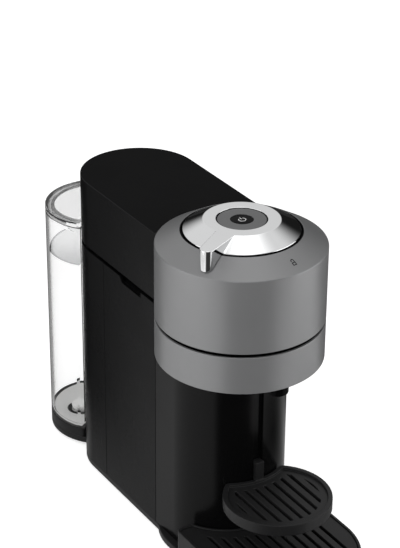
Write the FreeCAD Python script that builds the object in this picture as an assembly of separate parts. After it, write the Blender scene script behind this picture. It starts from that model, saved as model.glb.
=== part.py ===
import FreeCAD, Part
import math
import os

# A slim pod coffee machine: a round brewing head on a narrow upright body, a clear water tank
# behind it, and a pod bin, cup support and drip tray in front. Millimetres, +Z up, front at -Y.

Vector = FreeCAD.Vector

# Overall sizes
overall_depth = 429.0
overall_height = 314.0
head_diameter = 142.0
body_width = 104.0
tank_diameter = 101.0

# Distances from the axis of the round head
head_to_column = 20.3
head_to_rear = 165.0
head_to_tank = 238.0
motor_offset = 82.0

# Heights of the head and the covers, from the top down
knob_rise = 21.3
cone_rise = 11.9
upper_ring_height = 64.9
head_gap = 3.1
lower_ring_height = 33.2
cover_drop = 0.5
cover_height = 62.2
seam_gap = 3.2

# Walls and clearances
wall = 2.5
plate = 3.0
joint_gap = 0.4
seat_gap = 0.3
run_gap = 0.05
cut_past = 1.0
edge_round = 0.8

# Base and feet
foot_height = 3.0
foot_radius = 9.0
base_thickness = 6.0
front_foot_spread = 36.0
rear_foot_spread = 28.0
tongue_inset = 6.0
neck_half_width = 38.0

# Body panels
joint_setback = 2.2
rear_joint = 139.0
notch_front = 74.5
notch_length = 36.0
notch_depth = 5.0
notch_slant = 4.0

# Inner deck, bulkhead and chute
deck_drop = 4.8
bulkhead_gap = 2.0
chute_half_width = 34.0
chute_margin = 4.0
chute_front_gap = 4.0

# Screws and their bosses
screw_radius = 1.5
screw_head_radius = 3.0
screw_head_height = 2.0
screw_length = 12.0
boss_radius = 4.6
boss_height = 15.0
rear_boss_setback = 11.0

# Pod bin and cup support
bin_length = 131.7
bin_side_gap = 2.0
bin_head_gap = 1.7
groove_width = 8.6
groove_depth = 4.0
groove_floor = 2.5
spout_notch_width = 26.0
spout_notch_drop = 3.5
support_radius = 46.0
support_shift = 4.0
support_height = 10.0
support_base = 74.0
support_gap = 1.2
support_rim = 4.0
support_recess = 2.0
tongue_height = 34.0
slot_width = 3.0
slot_pitch = 9.0
support_slot_margin = 10.0

# Drip tray and grid
tray_radius = 64.0
tray_height = 28.0
tray_wing = 24.3
tray_corner = 5.0
grid_thickness = 3.0
grid_drop = 1.0
grid_ledge = 2.0
grid_slot_margin = 9.0

# Water tank
tank_gap = 4.0
tank_wall = 2.6
tank_rim_height = 233.7
tank_lid_height = 5.7
tank_horn_round = 4.0
lid_band = 8.0
lid_recess = 1.8
lid_plug_depth = 5.0
dock_height = 9.0
valve_offset_x = -22.0
valve_offset_y = 4.0
valve_radius = 8.8
valve_neck_radius = 6.9
valve_depth = 5.0
valve_flange_height = 2.6
socket_wall = 2.7
socket_floor = 2.0

# Spout, brewing bowl and pod holder
spout_radius = 8.6
spout_margin = 1.4
spout_drop = 11.0
spout_bore = 4.5
spout_edge_round = 2.0
bowl_radius = 52.0
bowl_flange = 6.0
bowl_flange_height = 2.3
duct_half_width = 7.0
duct_height = 11.0
channel_half_width = 4.0
channel_height = 5.0
holder_radius = 29.5
holder_wall = 3.5
holder_flange = 3.0
holder_flange_height = 2.0
holder_depth = 18.0
spindle_radius = 5.0
bearing_width = 4.0
bearing_clear = 0.5

# Lid frame and hinge
floor_rise = 1.0
pivot_drop = 7.2
pivot_setback = 10.0
pin_radius = 2.0
hinge_boss_radius = 4.0
arm_inner = 6.0
arm_thickness = 5.0
arm_foot_y = 148.0
arm_half_width = 4.0
lug_gap = 1.3
lug_thickness = 4.0
lug_foot = 22.0
slot_start = 140.0
ring_window_drop = 8.0

# Brewing rotor, motor and belt
clamp_radius = 33.0
clamp_height = 4.5
clamp_gap = 0.5
rotor_shaft_radius = 8.95
rotor_bore = 2.6
rotor_bearing_radius = 16.0
rotor_bearing_height = 11.0
carrier_radius = 46.0
carrier_height = 46.0
belt_level = 28.0
pulley_height = 8.0
rotor_pulley_radius = 20.0
motor_pulley_radius = 10.0
belt_gap = 0.3
belt_thickness = 1.6
belt_width = 6.0
motor_radius = 25.0
motor_height = 25.0
motor_shaft_radius = 4.0
window_half_width = 30.0
window_height = 22.0
floor_hole_radius = 12.0
needle_radius = 2.3
needle_reach = 10.0
injector_radius = 6.0
injector_height = 7.0
seal_outer = 54.0
seal_inner = 50.0
seal_height = 5.9
reader_half_width = 10.0
reader_depth = 14.0
reader_height = 4.0

# Knob, lever, bezel and button
cone_opening = 50.2
ring_lip = 3.0
bezel_wall = 0.6
bezel_inner = 33.0
bezel_floor = 1.5
bezel_drop = 5.6
knob_gap = 1.4
knob_top_radius = 31.8
knob_edge_rise = 0.4
knob_lip = 2.5
knob_skin = 3.0
knob_hole = 21.0
spigot_radius = 26.5
spigot_wall = 3.0
spigot_rise = 26.0
hub_wall = 3.0
hub_rise = 2.0
lock_ring_radius = 40.0
lock_ring_height = 3.0
lock_tab_radius = 43.0
lock_tab_width = 12.0
lock_tab_count = 3
lever_angle = -58.8
lever_reach = 67.6
lever_root_radius = 24.0
lever_root_half_width = 8.8
lever_tip_half_width = 6.0
lever_clear = 0.9
lever_round = 1.0
button_radius = 20.1
button_drop = 0.6
button_height = 4.1
button_flange_height = 2.8
button_lens_radius = 9.5
button_lens_drop = 0.3
button_lens_height = 2.3
button_travel = 1.2
board_thickness = 1.6
switch_half_width = 3.0
switch_height = 3.4
spigot_ledge = 2.5

# Pump, heater and other inner pieces
pump_x = -22.0
pump_setback = 25.0
pump_radius = 16.0
pump_height = 85.0
pump_mount_half = 18.0
pump_mount_height = 6.0
heater_x = 22.0
heater_setback = 27.0
heater_radius = 21.0
heater_height = 88.0
heater_stand_radius = 14.0
heater_stand_height = 18.0
port_radius = 3.5
port_height = 7.0
port_spread = 8.0
meter_setback = 21.0
meter_radius = 12.0
meter_height = 24.0
hose_radius = 3.0
hose_level = 14.0
suction_level = 3.5
hose_arch = 32.0
hose_bend = 10.0
hot_hose_level = 170.0
union_radius = 5.0
union_height = 9.0
union_x = -30.0
union_setback = 4.0
lid_hose_turn = 54.0
main_board_setback = 16.0
main_board_half_width = 34.0
main_board_base = 60.0
main_board_height = 130.0
main_board_margin = 8.0
standoff_radius = 3.0
chip_height = 9.0
chip_size = 18.0
gland_radius = 6.0
gland_length = 7.0
gland_height = 18.0
gland_advance = 17.0
gland_bore = 3.5

# Places worked out from the sizes above
head_radius = head_diameter / 2
body_radius = body_width / 2
tank_radius = tank_diameter / 2
front_y = -overall_depth / 2
tank_y = overall_depth / 2 - tank_radius
head_y = tank_y - head_to_tank
column_y = head_y + head_to_column
rear_y = head_y + head_to_rear
spout_y = head_y - head_radius + wall + spout_margin + spout_radius
motor_y = head_y + motor_offset
column_front = column_y - body_radius
inner_half = body_radius - wall
junction_y = head_y + math.sqrt(head_radius**2 - body_radius**2) + joint_setback
panel_rear = head_y + rear_joint
bin_rear = column_front + bin_length
bulkhead_y = bin_rear + bulkhead_gap
bulkhead_rear = bulkhead_y + plate
tray_y = front_y + tray_radius
tongue_radius = tray_radius - tongue_inset

base_z = foot_height
base_top = base_z + base_thickness
shoulder_z = overall_height - knob_rise
cone_z = shoulder_z + cone_rise
ring_z = shoulder_z - upper_ring_height
lower_top = ring_z - head_gap
head_z = lower_top - lower_ring_height
head_floor_top = head_z + wall
cover_top = shoulder_z - cover_drop
cover_z = cover_top - cover_height
body_top = cover_z - seam_gap
deck_top = body_top - deck_drop
deck_z = deck_top - plate
floor_z = cover_z + floor_rise
floor_top = floor_z + plate
carrier_top = floor_top + carrier_height
spigot_z = carrier_top + plate
spigot_top = spigot_z + spigot_rise
pivot_y = rear_y + body_radius - pivot_setback
pivot_z = cover_top - pivot_drop
spout_z = head_z - spout_drop
bowl_z = head_floor_top + seat_gap
bowl_floor = bowl_z + wall
bin_z = base_top + seat_gap
bin_top = head_z - bin_head_gap
tray_z = base_top + seat_gap
tray_top = tray_z + tray_height
dock_top = base_top + dock_height
tank_z = dock_top + seat_gap
tank_top = tank_rim_height - tank_lid_height
valve_y = tank_y + valve_offset_y
pulley_z = floor_top + belt_level
pump_y = bulkhead_rear + pump_setback
heater_y = bulkhead_rear + heater_setback
meter_y = rear_y + meter_setback
union_y = rear_y + union_setback
main_board_y = rear_y + main_board_setback
pump_z = base_top + pump_mount_height
heater_z = base_top + heater_stand_height
hose_z = base_top + hose_level
suction_z = base_top + suction_level
pump_top = pump_z + pump_height + port_height
heater_top = heater_z + heater_height + port_height
gland_y = rear_y - gland_advance
gland_z = base_top + gland_height
valve_bore = valve_radius + 2 * seat_gap
socket_radius = valve_bore + socket_wall
button_top = overall_height - button_drop
button_low = button_top - button_height - button_flange_height
board_z = button_low - button_travel - run_gap - switch_height - board_thickness
knob_base = cone_opening - bezel_wall - knob_gap
knob_edge_z = cone_z + knob_edge_rise
knob_hub = spigot_radius + 2 * run_gap
boss_x = inner_half - seat_gap - boss_radius
frame_boss_y = bulkhead_y + boss_radius
shell_boss_y = rear_y - rear_boss_setback
screw_seat = base_z + screw_head_height + edge_round
base_screw_places = [(side * boss_x, y) for side in (-1, 1) for y in (frame_boss_y, shell_boss_y)]
lid_screw_places = [(side * boss_x, y) for side in (-1, 1) for y in (motor_y, shell_boss_y)]


def cylinder(radius, z0, z1, x=0.0, y=0.0):
    return Part.makeCylinder(radius, z1 - z0, Vector(x, y, z0))


def ring(outer, inner, z0, z1, x=0.0, y=0.0):
    bore = cylinder(inner, z0 - cut_past, z1 + cut_past, x, y)
    return cylinder(outer, z0, z1, x, y).cut(bore)


def block(x0, x1, y0, y1, z0, z1):
    return Part.makeBox(x1 - x0, y1 - y0, z1 - z0, Vector(x0, y0, z0))


def rod(radius, x0, x1, y, z):
    return Part.makeCylinder(radius, x1 - x0, Vector(x0, y, z), Vector(1, 0, 0))


def turned(points, y):
    corners = [Vector(radius, y, z) for radius, z in points]
    face = Part.Face(Part.makePolygon(corners + corners[:1]))
    return face.revolve(Vector(0, y, 0), Vector(0, 0, 1), 360)


def arc(start, middle, end):
    return Part.Arc(start, middle, end).toShape()


def prism(edges, z0, z1):
    return Part.Face(Part.Wire(edges)).extrude(Vector(0, 0, z1 - z0))


def side_plate(points, x0, x1):
    corners = [Vector(x0, y, z) for y, z in points]
    face = Part.Face(Part.makePolygon(corners + corners[:1]))
    return face.extrude(Vector(x1 - x0, 0, 0))


def stadium(radius, y_front, y_rear, z0, z1):
    front_left = Vector(-radius, y_front, z0)
    front_right = Vector(radius, y_front, z0)
    rear_right = Vector(radius, y_rear, z0)
    rear_left = Vector(-radius, y_rear, z0)
    edges = [
        arc(front_left, Vector(0, y_front - radius, z0), front_right),
        Part.makeLine(front_right, rear_right),
        arc(rear_right, Vector(0, y_rear + radius, z0), rear_left),
        Part.makeLine(rear_left, front_left),
    ]
    return prism(edges, z0, z1)


def crescent(radius, centre_y, hollow_radius, hollow_y, z0, z1):
    # A disc with a bite taken out by a second circle
    spacing = centre_y - hollow_y
    horn_y = hollow_y + (hollow_radius**2 - radius**2 + spacing**2) / (2 * spacing)
    horn_x = math.sqrt(hollow_radius**2 - (horn_y - hollow_y) ** 2)
    far_y = centre_y + math.copysign(radius, spacing)
    near_y = hollow_y + math.copysign(hollow_radius, spacing)
    left = Vector(-horn_x, horn_y, z0)
    right = Vector(horn_x, horn_y, z0)
    edges = [arc(left, Vector(0, far_y, z0), right), arc(right, Vector(0, near_y, z0), left)]
    return prism(edges, z0, z1)


def uprights(shape):
    found = []
    for edge in shape.Edges:
        first, last = edge.Vertexes[0].Point, edge.Vertexes[-1].Point
        if abs(first.x - last.x) + abs(first.y - last.y) < run_gap:
            found.append(edge)
    return found


def round_uprights(shape, radius):
    return shape.makeFillet(radius, uprights(shape))


def tube(points, radius):
    # Straight runs joined by tangent arcs
    corners = [Vector(*point) for point in points]
    edges = []
    start = corners[0]
    for before, corner, after in zip(corners, corners[1:], corners[2:]):
        towards = (before - corner).normalize()
        away = (after - corner).normalize()
        half_turn = (math.pi - towards.getAngle(away)) / 2
        leg = hose_bend * math.tan(half_turn)
        inward = (towards + away).normalize()
        enter = corner + towards * leg
        leave = corner + away * leg
        middle = corner + inward * (hose_bend / math.cos(half_turn) - hose_bend)
        edges.append(Part.makeLine(start, enter))
        edges.append(arc(enter, middle, leave))
        start = leave
    edges.append(Part.makeLine(start, corners[-1]))
    path = Part.Wire(edges)
    section = Part.makeCircle(radius, corners[0], corners[1] - corners[0])
    return path.makePipeShell([Part.Wire(section)], True, False)


def joined(first, *others):
    shape = first
    for other in others:
        shape = shape.fuse(other)
    return shape.removeSplitter()


def grooves(half_width, y0, y1, z0, z1):
    # Parallel drain slots running front to back
    count = int(half_width // slot_pitch)
    slots = []
    for step in range(-count, count + 1):
        x = step * slot_pitch
        slots.append(block(x - slot_width / 2, x + slot_width / 2, y0, y1, z0, z1))
    return Part.makeCompound(slots)


# Base, feet and fixings

def screw(x, y, seat):
    head = cylinder(screw_head_radius, seat - screw_head_height, seat, x, y)
    return head.fuse(cylinder(screw_radius, seat, seat + screw_length, x, y))


def screw_hole(x, y, seat):
    head_room = cylinder(screw_head_radius + seat_gap, base_z - cut_past, seat, x, y)
    return head_room.fuse(cylinder(screw_radius + run_gap, seat, seat + screw_length + cut_past, x, y))


def boss(x, y, z0, z1):
    # A hollow post for a screw
    return ring(boss_radius, screw_radius + run_gap, z0, z1, x, y)


def base_plate():
    body = stadium(body_radius, column_y, rear_y, base_z, base_top)
    tongue = stadium(tongue_radius, tray_y, column_y, base_z, base_top)
    rear = cylinder(tank_radius, base_z, base_top, 0, tank_y)
    neck = block(-neck_half_width, neck_half_width, rear_y, tank_y, base_z, base_top)
    shape = joined(body, tongue, neck, rear)
    for x, y in base_screw_places:
        shape = shape.cut(screw_hole(x, y, screw_seat))
    return shape


def rubber_feet():
    feet = []
    for side in (-1, 1):
        feet.append(cylinder(foot_radius, 0, foot_height, side * front_foot_spread, tray_y))
        feet.append(cylinder(foot_radius, 0, foot_height, side * rear_foot_spread, tank_y))
    return Part.makeCompound(feet)


def base_screws():
    return Part.makeCompound([screw(x, y, screw_seat) for x, y in base_screw_places])


# Upright frame with the deck, the bulkhead and the hinge arms

def hinge_arm(side):
    foot = Vector(0, head_y + arm_foot_y, deck_top)
    pivot = Vector(0, pivot_y, pivot_z)
    along = (pivot - foot).normalize()
    across = Vector(0, -along.z, along.y) * arm_half_width
    start = foot - along * (plate + arm_half_width)
    corners = [start - across, pivot - across, pivot + across, start + across]
    x0 = arm_inner if side > 0 else -arm_inner - arm_thickness
    bar = side_plate([(corner.y, corner.z) for corner in corners], x0, x0 + arm_thickness)
    knuckle = rod(hinge_boss_radius, x0, x0 + arm_thickness, pivot_y, pivot_z)
    below = block(x0 - cut_past, x0 + arm_thickness + cut_past, bulkhead_y, pivot_y, base_top, deck_z)
    return bar.fuse(knuckle).cut(below)


def main_frame():
    reach = inner_half - seat_gap
    deck = stadium(reach, head_y, rear_y, deck_z, deck_top)
    low, high = deck_z - cut_past, deck_top + cut_past
    deck = deck.cut(block(-reach, reach, head_y - body_width, junction_y, low, high))
    deck = deck.fuse(cylinder(head_radius - wall - seat_gap, deck_z, deck_top, 0, head_y))
    deck = deck.cut(cylinder(bowl_radius + seat_gap, low, high, 0, head_y))
    chute_front = head_y + head_radius - chute_front_gap
    chute_rear = bin_rear - wall - chute_margin
    deck = deck.cut(block(-chute_half_width, chute_half_width, chute_front, chute_rear, low, high))
    bulkhead = block(-reach, reach, bulkhead_y, bulkhead_rear, base_top, deck_top)
    posts = [cylinder(boss_radius, base_top, base_top + boss_height, side * boss_x, frame_boss_y)
             for side in (-1, 1)]
    shape = joined(deck, bulkhead, hinge_arm(-1), hinge_arm(1), *posts)
    for side in (-1, 1):
        shape = shape.cut(screw_hole(side * boss_x, frame_boss_y, screw_seat))
    pin_hole = rod(pin_radius, -body_radius, body_radius, pivot_y, pivot_z)
    union_hole = cylinder(union_radius, low, high, union_x, union_y)
    return shape.cut(pin_hole).cut(union_hole)


def hinge_pin():
    half = arm_inner + arm_thickness + lug_gap + lug_thickness
    return rod(pin_radius, -half, half, pivot_y, pivot_z)


# Outer panels of the lower body

def side_panel(side):
    x0 = inner_half if side > 0 else -body_radius
    panel = block(x0, x0 + wall, junction_y, panel_rear - joint_gap / 2, base_top, body_top)
    front = head_y + notch_front
    rear = front + notch_length
    low = body_top - notch_depth
    high = body_top + cut_past
    corners = [(front, low), (rear - notch_slant, low), (rear, high), (front, high)]
    return panel.cut(side_plate(corners, x0 - cut_past, x0 + wall + cut_past))


def rear_shell():
    outer = stadium(body_radius, panel_rear, rear_y, base_top, body_top)
    inner = stadium(inner_half, panel_rear, rear_y, base_top - cut_past, body_top + cut_past)
    shape = outer.cut(inner)
    front = block(-body_radius, body_radius, panel_rear - 2 * body_radius, panel_rear + joint_gap / 2,
                  base_top - cut_past, body_top + cut_past)
    shape = shape.cut(front)
    extras = []
    for side in (-1, 1):
        extras.append(cylinder(boss_radius, base_top, base_top + boss_height, side * boss_x, shell_boss_y))
        web = sorted((side * boss_x, side * (inner_half + wall / 2)))
        extras.append(block(web[0], web[1], shell_boss_y - wall / 2, shell_boss_y + wall / 2, base_top,
                            base_top + boss_height))
        x = side * (main_board_half_width - main_board_margin)
        depth = rear_y + math.sqrt((body_radius - wall / 2) ** 2 - x**2) - main_board_y - board_thickness
        low = main_board_base + main_board_margin
        high = main_board_base + main_board_height - main_board_margin
        for z in (low, high):
            place = Vector(x, main_board_y + board_thickness, z)
            extras.append(Part.makeCylinder(standoff_radius, depth, place, Vector(0, 1, 0)))
    shape = joined(shape, *extras)
    for side in (-1, 1):
        shape = shape.cut(screw_hole(side * boss_x, shell_boss_y, screw_seat))
    shape = shape.cut(suction_hose(hose_radius + seat_gap))
    return shape.cut(rod(gland_radius, inner_half - cut_past, body_radius + cut_past, gland_y, gland_z))


def cable_gland():
    stem = rod(gland_radius, inner_half, body_radius, gland_y, gland_z)
    collar = rod(gland_radius + wall, body_radius, body_radius + gland_length, gland_y, gland_z)
    bore = rod(gland_bore, inner_half - cut_past, body_radius + gland_length + cut_past, gland_y, gland_z)
    return joined(stem, collar).cut(bore)


# Lower half of the head

def lower_head_ring():
    shape = ring(head_radius, head_radius - wall, head_z, lower_top, 0, head_y)
    rear = block(-head_radius, head_radius, junction_y - joint_gap, head_y + head_diameter, head_z - cut_past,
                 lower_top + cut_past)
    return shape.cut(rear)


def head_floor():
    disc = cylinder(head_radius - wall - seat_gap, head_z, head_floor_top, 0, head_y)
    hole = cylinder(spout_radius + seat_gap, head_z - cut_past, head_floor_top + cut_past, 0, spout_y)
    rear = block(-head_radius, head_radius, junction_y - joint_gap, head_y + head_diameter, head_z - cut_past,
                 head_floor_top + cut_past)
    return disc.cut(hole).cut(rear)


def brew_bowl():
    seat_inner = spindle_radius + run_gap + bearing_width
    seat_outer = seat_inner + wall
    seat_top = bowl_floor + bearing_clear + bearing_width
    inner = bowl_radius - wall
    rim = deck_top + bowl_flange_height
    shape = turned([
        (0, bowl_z), (bowl_radius, bowl_z), (bowl_radius, deck_top), (bowl_radius + bowl_flange, deck_top),
        (bowl_radius + bowl_flange, rim), (inner, rim), (inner, bowl_floor), (seat_outer, bowl_floor),
        (seat_outer, seat_top), (seat_inner, seat_top), (seat_inner, bowl_floor), (0, bowl_floor),
    ], head_y)
    duct = block(-duct_half_width, duct_half_width, spout_y - duct_half_width, head_y - inner,
                 bowl_z, bowl_z + duct_height)
    inside = cylinder(inner, bowl_floor, rim, 0, head_y)
    shape = joined(shape, duct.cut(inside))
    channel = block(-channel_half_width, channel_half_width, spout_y - channel_half_width,
                    head_y - inner + wall, bowl_floor, bowl_floor + channel_height)
    drain = cylinder(spout_bore, bowl_z - cut_past, bowl_floor + cut_past, 0, spout_y)
    return shape.cut(channel).cut(drain)


def holder_bearing():
    z = bowl_floor + bearing_clear
    bore = spindle_radius + run_gap
    return ring(bore + bearing_width, bore, z, z + bearing_width, 0, head_y)


def coffee_spout():
    shape = cylinder(spout_radius, spout_z, bowl_z, 0, spout_y)
    shape = shape.makeFillet(spout_edge_round, [edge for edge in shape.Edges if edge.BoundBox.ZMax < head_z])
    return shape.cut(cylinder(spout_bore, spout_z - cut_past, bowl_z + cut_past, 0, spout_y))


def pod_holder():
    low = bowl_floor + bearing_clear
    floor = low + bearing_width + seat_gap
    seat = floor + wall
    rim = seat + holder_depth
    outer = holder_radius + holder_wall
    return turned([
        (0, low), (spindle_radius, low), (spindle_radius, floor), (outer, floor),
        (outer, rim - holder_flange_height), (outer + holder_flange, rim - holder_flange_height),
        (outer + holder_flange, rim), (holder_radius, rim), (holder_radius, seat), (0, seat),
    ], head_y)


# Pod bin, cup support, drip tray and grid

def pod_bin():
    bin_joint = junction_y - joint_gap
    shell = stadium(body_radius, column_y, bin_rear + body_radius, bin_z, bin_top)
    behind = block(-body_radius, body_radius, bin_joint, bin_rear + body_width, bin_z - cut_past,
                   bin_top + cut_past)
    narrow = inner_half - bin_side_gap
    bucket = block(-narrow, narrow, column_y, bin_rear, bin_z, bin_top)
    rib_rear = column_front + groove_depth + groove_floor
    rib = block(-groove_width, groove_width, column_front + wall / 2, rib_rear, bin_z, bin_top)
    front_room = stadium(inner_half, column_y, bin_rear + body_radius, bin_z + wall, bin_top + cut_past)
    front_room = front_room.cut(block(-body_radius, body_radius, bin_joint - wall, bin_rear + body_width,
                                      bin_z - cut_past, bin_top + 2 * cut_past))
    rear_room = block(wall - narrow, narrow - wall, column_y, bin_rear - wall, bin_z + wall,
                      bin_top + cut_past)
    shape = joined(shell.cut(behind), bucket).cut(front_room.fuse(rear_room))
    shape = joined(shape, rib)
    half = groove_width / 2
    groove = block(-half, half, column_front - cut_past, column_front + groove_depth, bin_z + wall,
                   bin_top + cut_past)
    notch = block(-spout_notch_width / 2, spout_notch_width / 2, column_front - cut_past, head_y,
                  spout_z - spout_notch_drop, bin_top + cut_past)
    return shape.cut(groove).cut(notch)


def cup_support():
    centre = spout_y - support_shift
    hollow = body_radius + support_gap
    top = support_base + support_height
    shape = round_uprights(crescent(support_radius, centre, hollow, column_y, support_base, top), support_rim)
    recess = crescent(support_radius - support_rim, centre, hollow + support_rim, column_y,
                      top - support_recess, top + cut_past)
    half = support_radius - support_slot_margin
    slots = grooves(half, centre - support_radius, column_y, support_base - cut_past, top)
    area = crescent(support_radius - support_slot_margin, centre, hollow + support_slot_margin, column_y,
                    support_base - cut_past, top)
    tongue_half = groove_width / 2 - seat_gap
    tongue = block(-tongue_half, tongue_half, column_front - support_gap - wall,
                   column_front + groove_depth - seat_gap, top - tongue_height, top + tongue_height / 2)
    shape = shape.cut(recess).cut(slots.common(area))
    return joined(shape, tongue)


def tray_outline(inset, hollow_inset, z0, z1):
    # A rounded front, straight sides, and a hollow rear edge that follows the column
    radius = tray_radius - inset
    rear = column_y - tray_wing - inset
    hollow = body_radius + support_gap + hollow_inset
    lip_x = math.sqrt(hollow**2 - (rear - column_y) ** 2)
    rear_left, rear_right = Vector(-radius, rear, z0), Vector(radius, rear, z0)
    front_left, front_right = Vector(-radius, tray_y, z0), Vector(radius, tray_y, z0)
    lip_left, lip_right = Vector(-lip_x, rear, z0), Vector(lip_x, rear, z0)
    edges = [
        Part.makeLine(rear_left, front_left),
        arc(front_left, Vector(0, tray_y - radius, z0), front_right),
        Part.makeLine(front_right, rear_right),
        Part.makeLine(rear_right, lip_right),
        arc(lip_right, Vector(0, column_y - hollow, z0), lip_left),
        Part.makeLine(lip_left, rear_left),
    ]
    shape = prism(edges, z0, z1)
    rear_edges = [edge for edge in uprights(shape) if abs(edge.BoundBox.YMax - rear) < run_gap]
    return shape.makeFillet(max(tray_corner - inset, edge_round), rear_edges)


def drip_tray():
    outer = tray_outline(0, 0, tray_z, tray_top)
    ledge_z = tray_top - grid_drop - grid_thickness
    well = tray_outline(wall + grid_ledge, wall + grid_ledge, tray_z + wall, ledge_z + cut_past)
    seat = tray_outline(wall, wall, ledge_z, tray_top + cut_past)
    return outer.cut(well).cut(seat)


def drip_grid():
    top = tray_top - grid_drop
    low = top - grid_thickness
    inset = wall + seat_gap
    shape = tray_outline(inset, inset, low, top)
    margin = inset + grid_slot_margin
    area = stadium(tray_radius - margin, tray_y, column_y, low - cut_past, top + cut_past)
    area = area.cut(cylinder(body_radius + support_gap + margin, low - cut_past, top + cut_past, 0, column_y))
    area = area.cut(block(-tray_radius, tray_radius, column_y - tray_wing - margin, column_y + body_width,
                          low - cut_past, top + cut_past))
    slots = grooves(tray_radius - margin, front_y, column_y, low - cut_past, top + cut_past)
    return shape.cut(slots.common(area))


# Water tank, its lid and its dock

def tank_outline(inset, z0, z1, corner):
    hollow = body_radius + tank_gap + inset
    return round_uprights(crescent(tank_radius - inset, tank_y, hollow, rear_y, z0, z1), corner)


def water_tank():
    outer = tank_outline(0, tank_z, tank_top, tank_horn_round)
    inner = tank_outline(tank_wall, tank_z + plate, tank_top + cut_past, tank_horn_round - tank_wall)
    neck = cylinder(valve_neck_radius + run_gap, tank_z - cut_past, tank_z + plate + cut_past, valve_offset_x,
                    valve_y)
    return outer.cut(inner).cut(neck)


def tank_lid():
    cap = tank_outline(0, tank_top, tank_rim_height, tank_horn_round)
    recess = tank_outline(lid_band, tank_rim_height - lid_recess, tank_rim_height + cut_past, edge_round)
    plug_inset = tank_wall + seat_gap
    plug = tank_outline(plug_inset, tank_top - lid_plug_depth, tank_top, tank_horn_round - tank_wall)
    room = tank_outline(plug_inset + tank_wall, tank_top - lid_plug_depth - cut_past,
                        tank_top + wall - edge_round, edge_round)
    return joined(cap, plug).cut(recess).cut(room)


def tank_valve():
    body = cylinder(valve_radius, dock_top - valve_depth, tank_z, valve_offset_x, valve_y)
    neck = cylinder(valve_neck_radius, tank_z, tank_z + plate, valve_offset_x, valve_y)
    flange_z = tank_z + plate
    flange = cylinder(valve_radius, flange_z, flange_z + valve_flange_height, valve_offset_x, valve_y)
    return joined(body, neck, flange)


def tank_dock():
    outer = tank_outline(0, base_top, dock_top, tank_horn_round)
    inner = tank_outline(wall, base_top - cut_past, dock_top - plate, tank_horn_round - wall)
    socket = cylinder(socket_radius + seat_gap, dock_top - plate - cut_past, dock_top + cut_past,
                      valve_offset_x, valve_y)
    return outer.cut(inner).cut(socket).cut(suction_hose(hose_radius + seat_gap))


def tank_socket():
    bore = cylinder(valve_bore, base_top + socket_floor, dock_top + cut_past, valve_offset_x, valve_y)
    return cylinder(socket_radius, base_top, dock_top, valve_offset_x, valve_y).cut(bore)


# Pump, heater, hoses and boards inside the body

def suction_hose(radius):
    start = meter_y + meter_radius
    length = valve_y - socket_radius - start
    return Part.makeCylinder(radius, length, Vector(pump_x, start, suction_z), Vector(0, 1, 0))


def feed_hose():
    start = pump_y + pump_radius
    length = meter_y - meter_radius - start
    return Part.makeCylinder(hose_radius, length, Vector(pump_x, start, hose_z), Vector(0, 1, 0))


def flow_meter():
    return cylinder(meter_radius, base_top, base_top + meter_height, pump_x, meter_y)


def pump_mount():
    return block(pump_x - pump_mount_half, pump_x + pump_mount_half, pump_y - pump_mount_half,
                 pump_y + pump_mount_half, base_top, pump_z)


def water_pump():
    body = cylinder(pump_radius, pump_z, pump_z + pump_height, pump_x, pump_y)
    return joined(body, cylinder(port_radius, pump_z + pump_height, pump_top, pump_x, pump_y))


def heater_stand():
    return ring(heater_stand_radius, heater_stand_radius - plate, base_top, heater_z, heater_x, heater_y)


def heater_block():
    shoulder = heater_z + heater_height
    body = cylinder(heater_radius, heater_z, shoulder, heater_x, heater_y)
    ports = [cylinder(port_radius, shoulder, heater_top, heater_x + side * port_spread, heater_y)
             for side in (-1, 1)]
    return joined(body, *ports)


def pressure_hose():
    x = heater_x - port_spread
    arch = pump_top + hose_arch
    return tube([(pump_x, pump_y, pump_top), (pump_x, pump_y, arch), (x, heater_y, arch),
                 (x, heater_y, heater_top)], hose_radius)


def hot_hose():
    x = heater_x + port_spread
    return tube([(x, heater_y, heater_top), (x, heater_y, hot_hose_level), (union_x, union_y, hot_hose_level),
                 (union_x, union_y, deck_z - union_height / 2)], hose_radius)


def deck_union():
    return cylinder(union_radius, deck_z - union_height / 2, deck_top + union_height / 2, union_x, union_y)


def control_board():
    top = main_board_base + main_board_height
    board = block(-main_board_half_width, main_board_half_width, main_board_y, main_board_y + board_thickness,
                  main_board_base, top)
    chips = []
    for x in (-chip_size, chip_size / 2):
        for row in (1, 3, 5):
            z = main_board_base + row * chip_size
            chips.append(block(x, x + chip_size / 2, main_board_y - chip_height, main_board_y, z,
                               z + chip_size))
    return joined(board, *chips)


# Lid: covers and frame

def top_cover():
    shape = stadium(body_radius, head_y, rear_y, cover_z, cover_top)
    rim = [edge for edge in shape.Edges if edge.BoundBox.ZMin > cover_top - edge_round]
    shape = shape.makeFillet(edge_round, rim)
    shape = shape.cut(stadium(inner_half, head_y, rear_y, cover_z - cut_past, cover_top - wall))
    extras = []
    for x, y in lid_screw_places:
        extras.append(boss(x, y, floor_top, cover_top - wall / 2))
        near = math.copysign(boss_x + boss_radius - wall / 2, x)
        far = math.copysign(body_radius - wall / 2, x)
        web = sorted((near, far))
        extras.append(block(web[0], web[1], y - wall / 2, y + wall / 2, floor_top, cover_top - wall / 2))
    shape = joined(shape, *extras)
    return shape.cut(cylinder(head_radius + joint_gap, cover_z - cut_past, cover_top + cut_past, 0, head_y))


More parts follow.
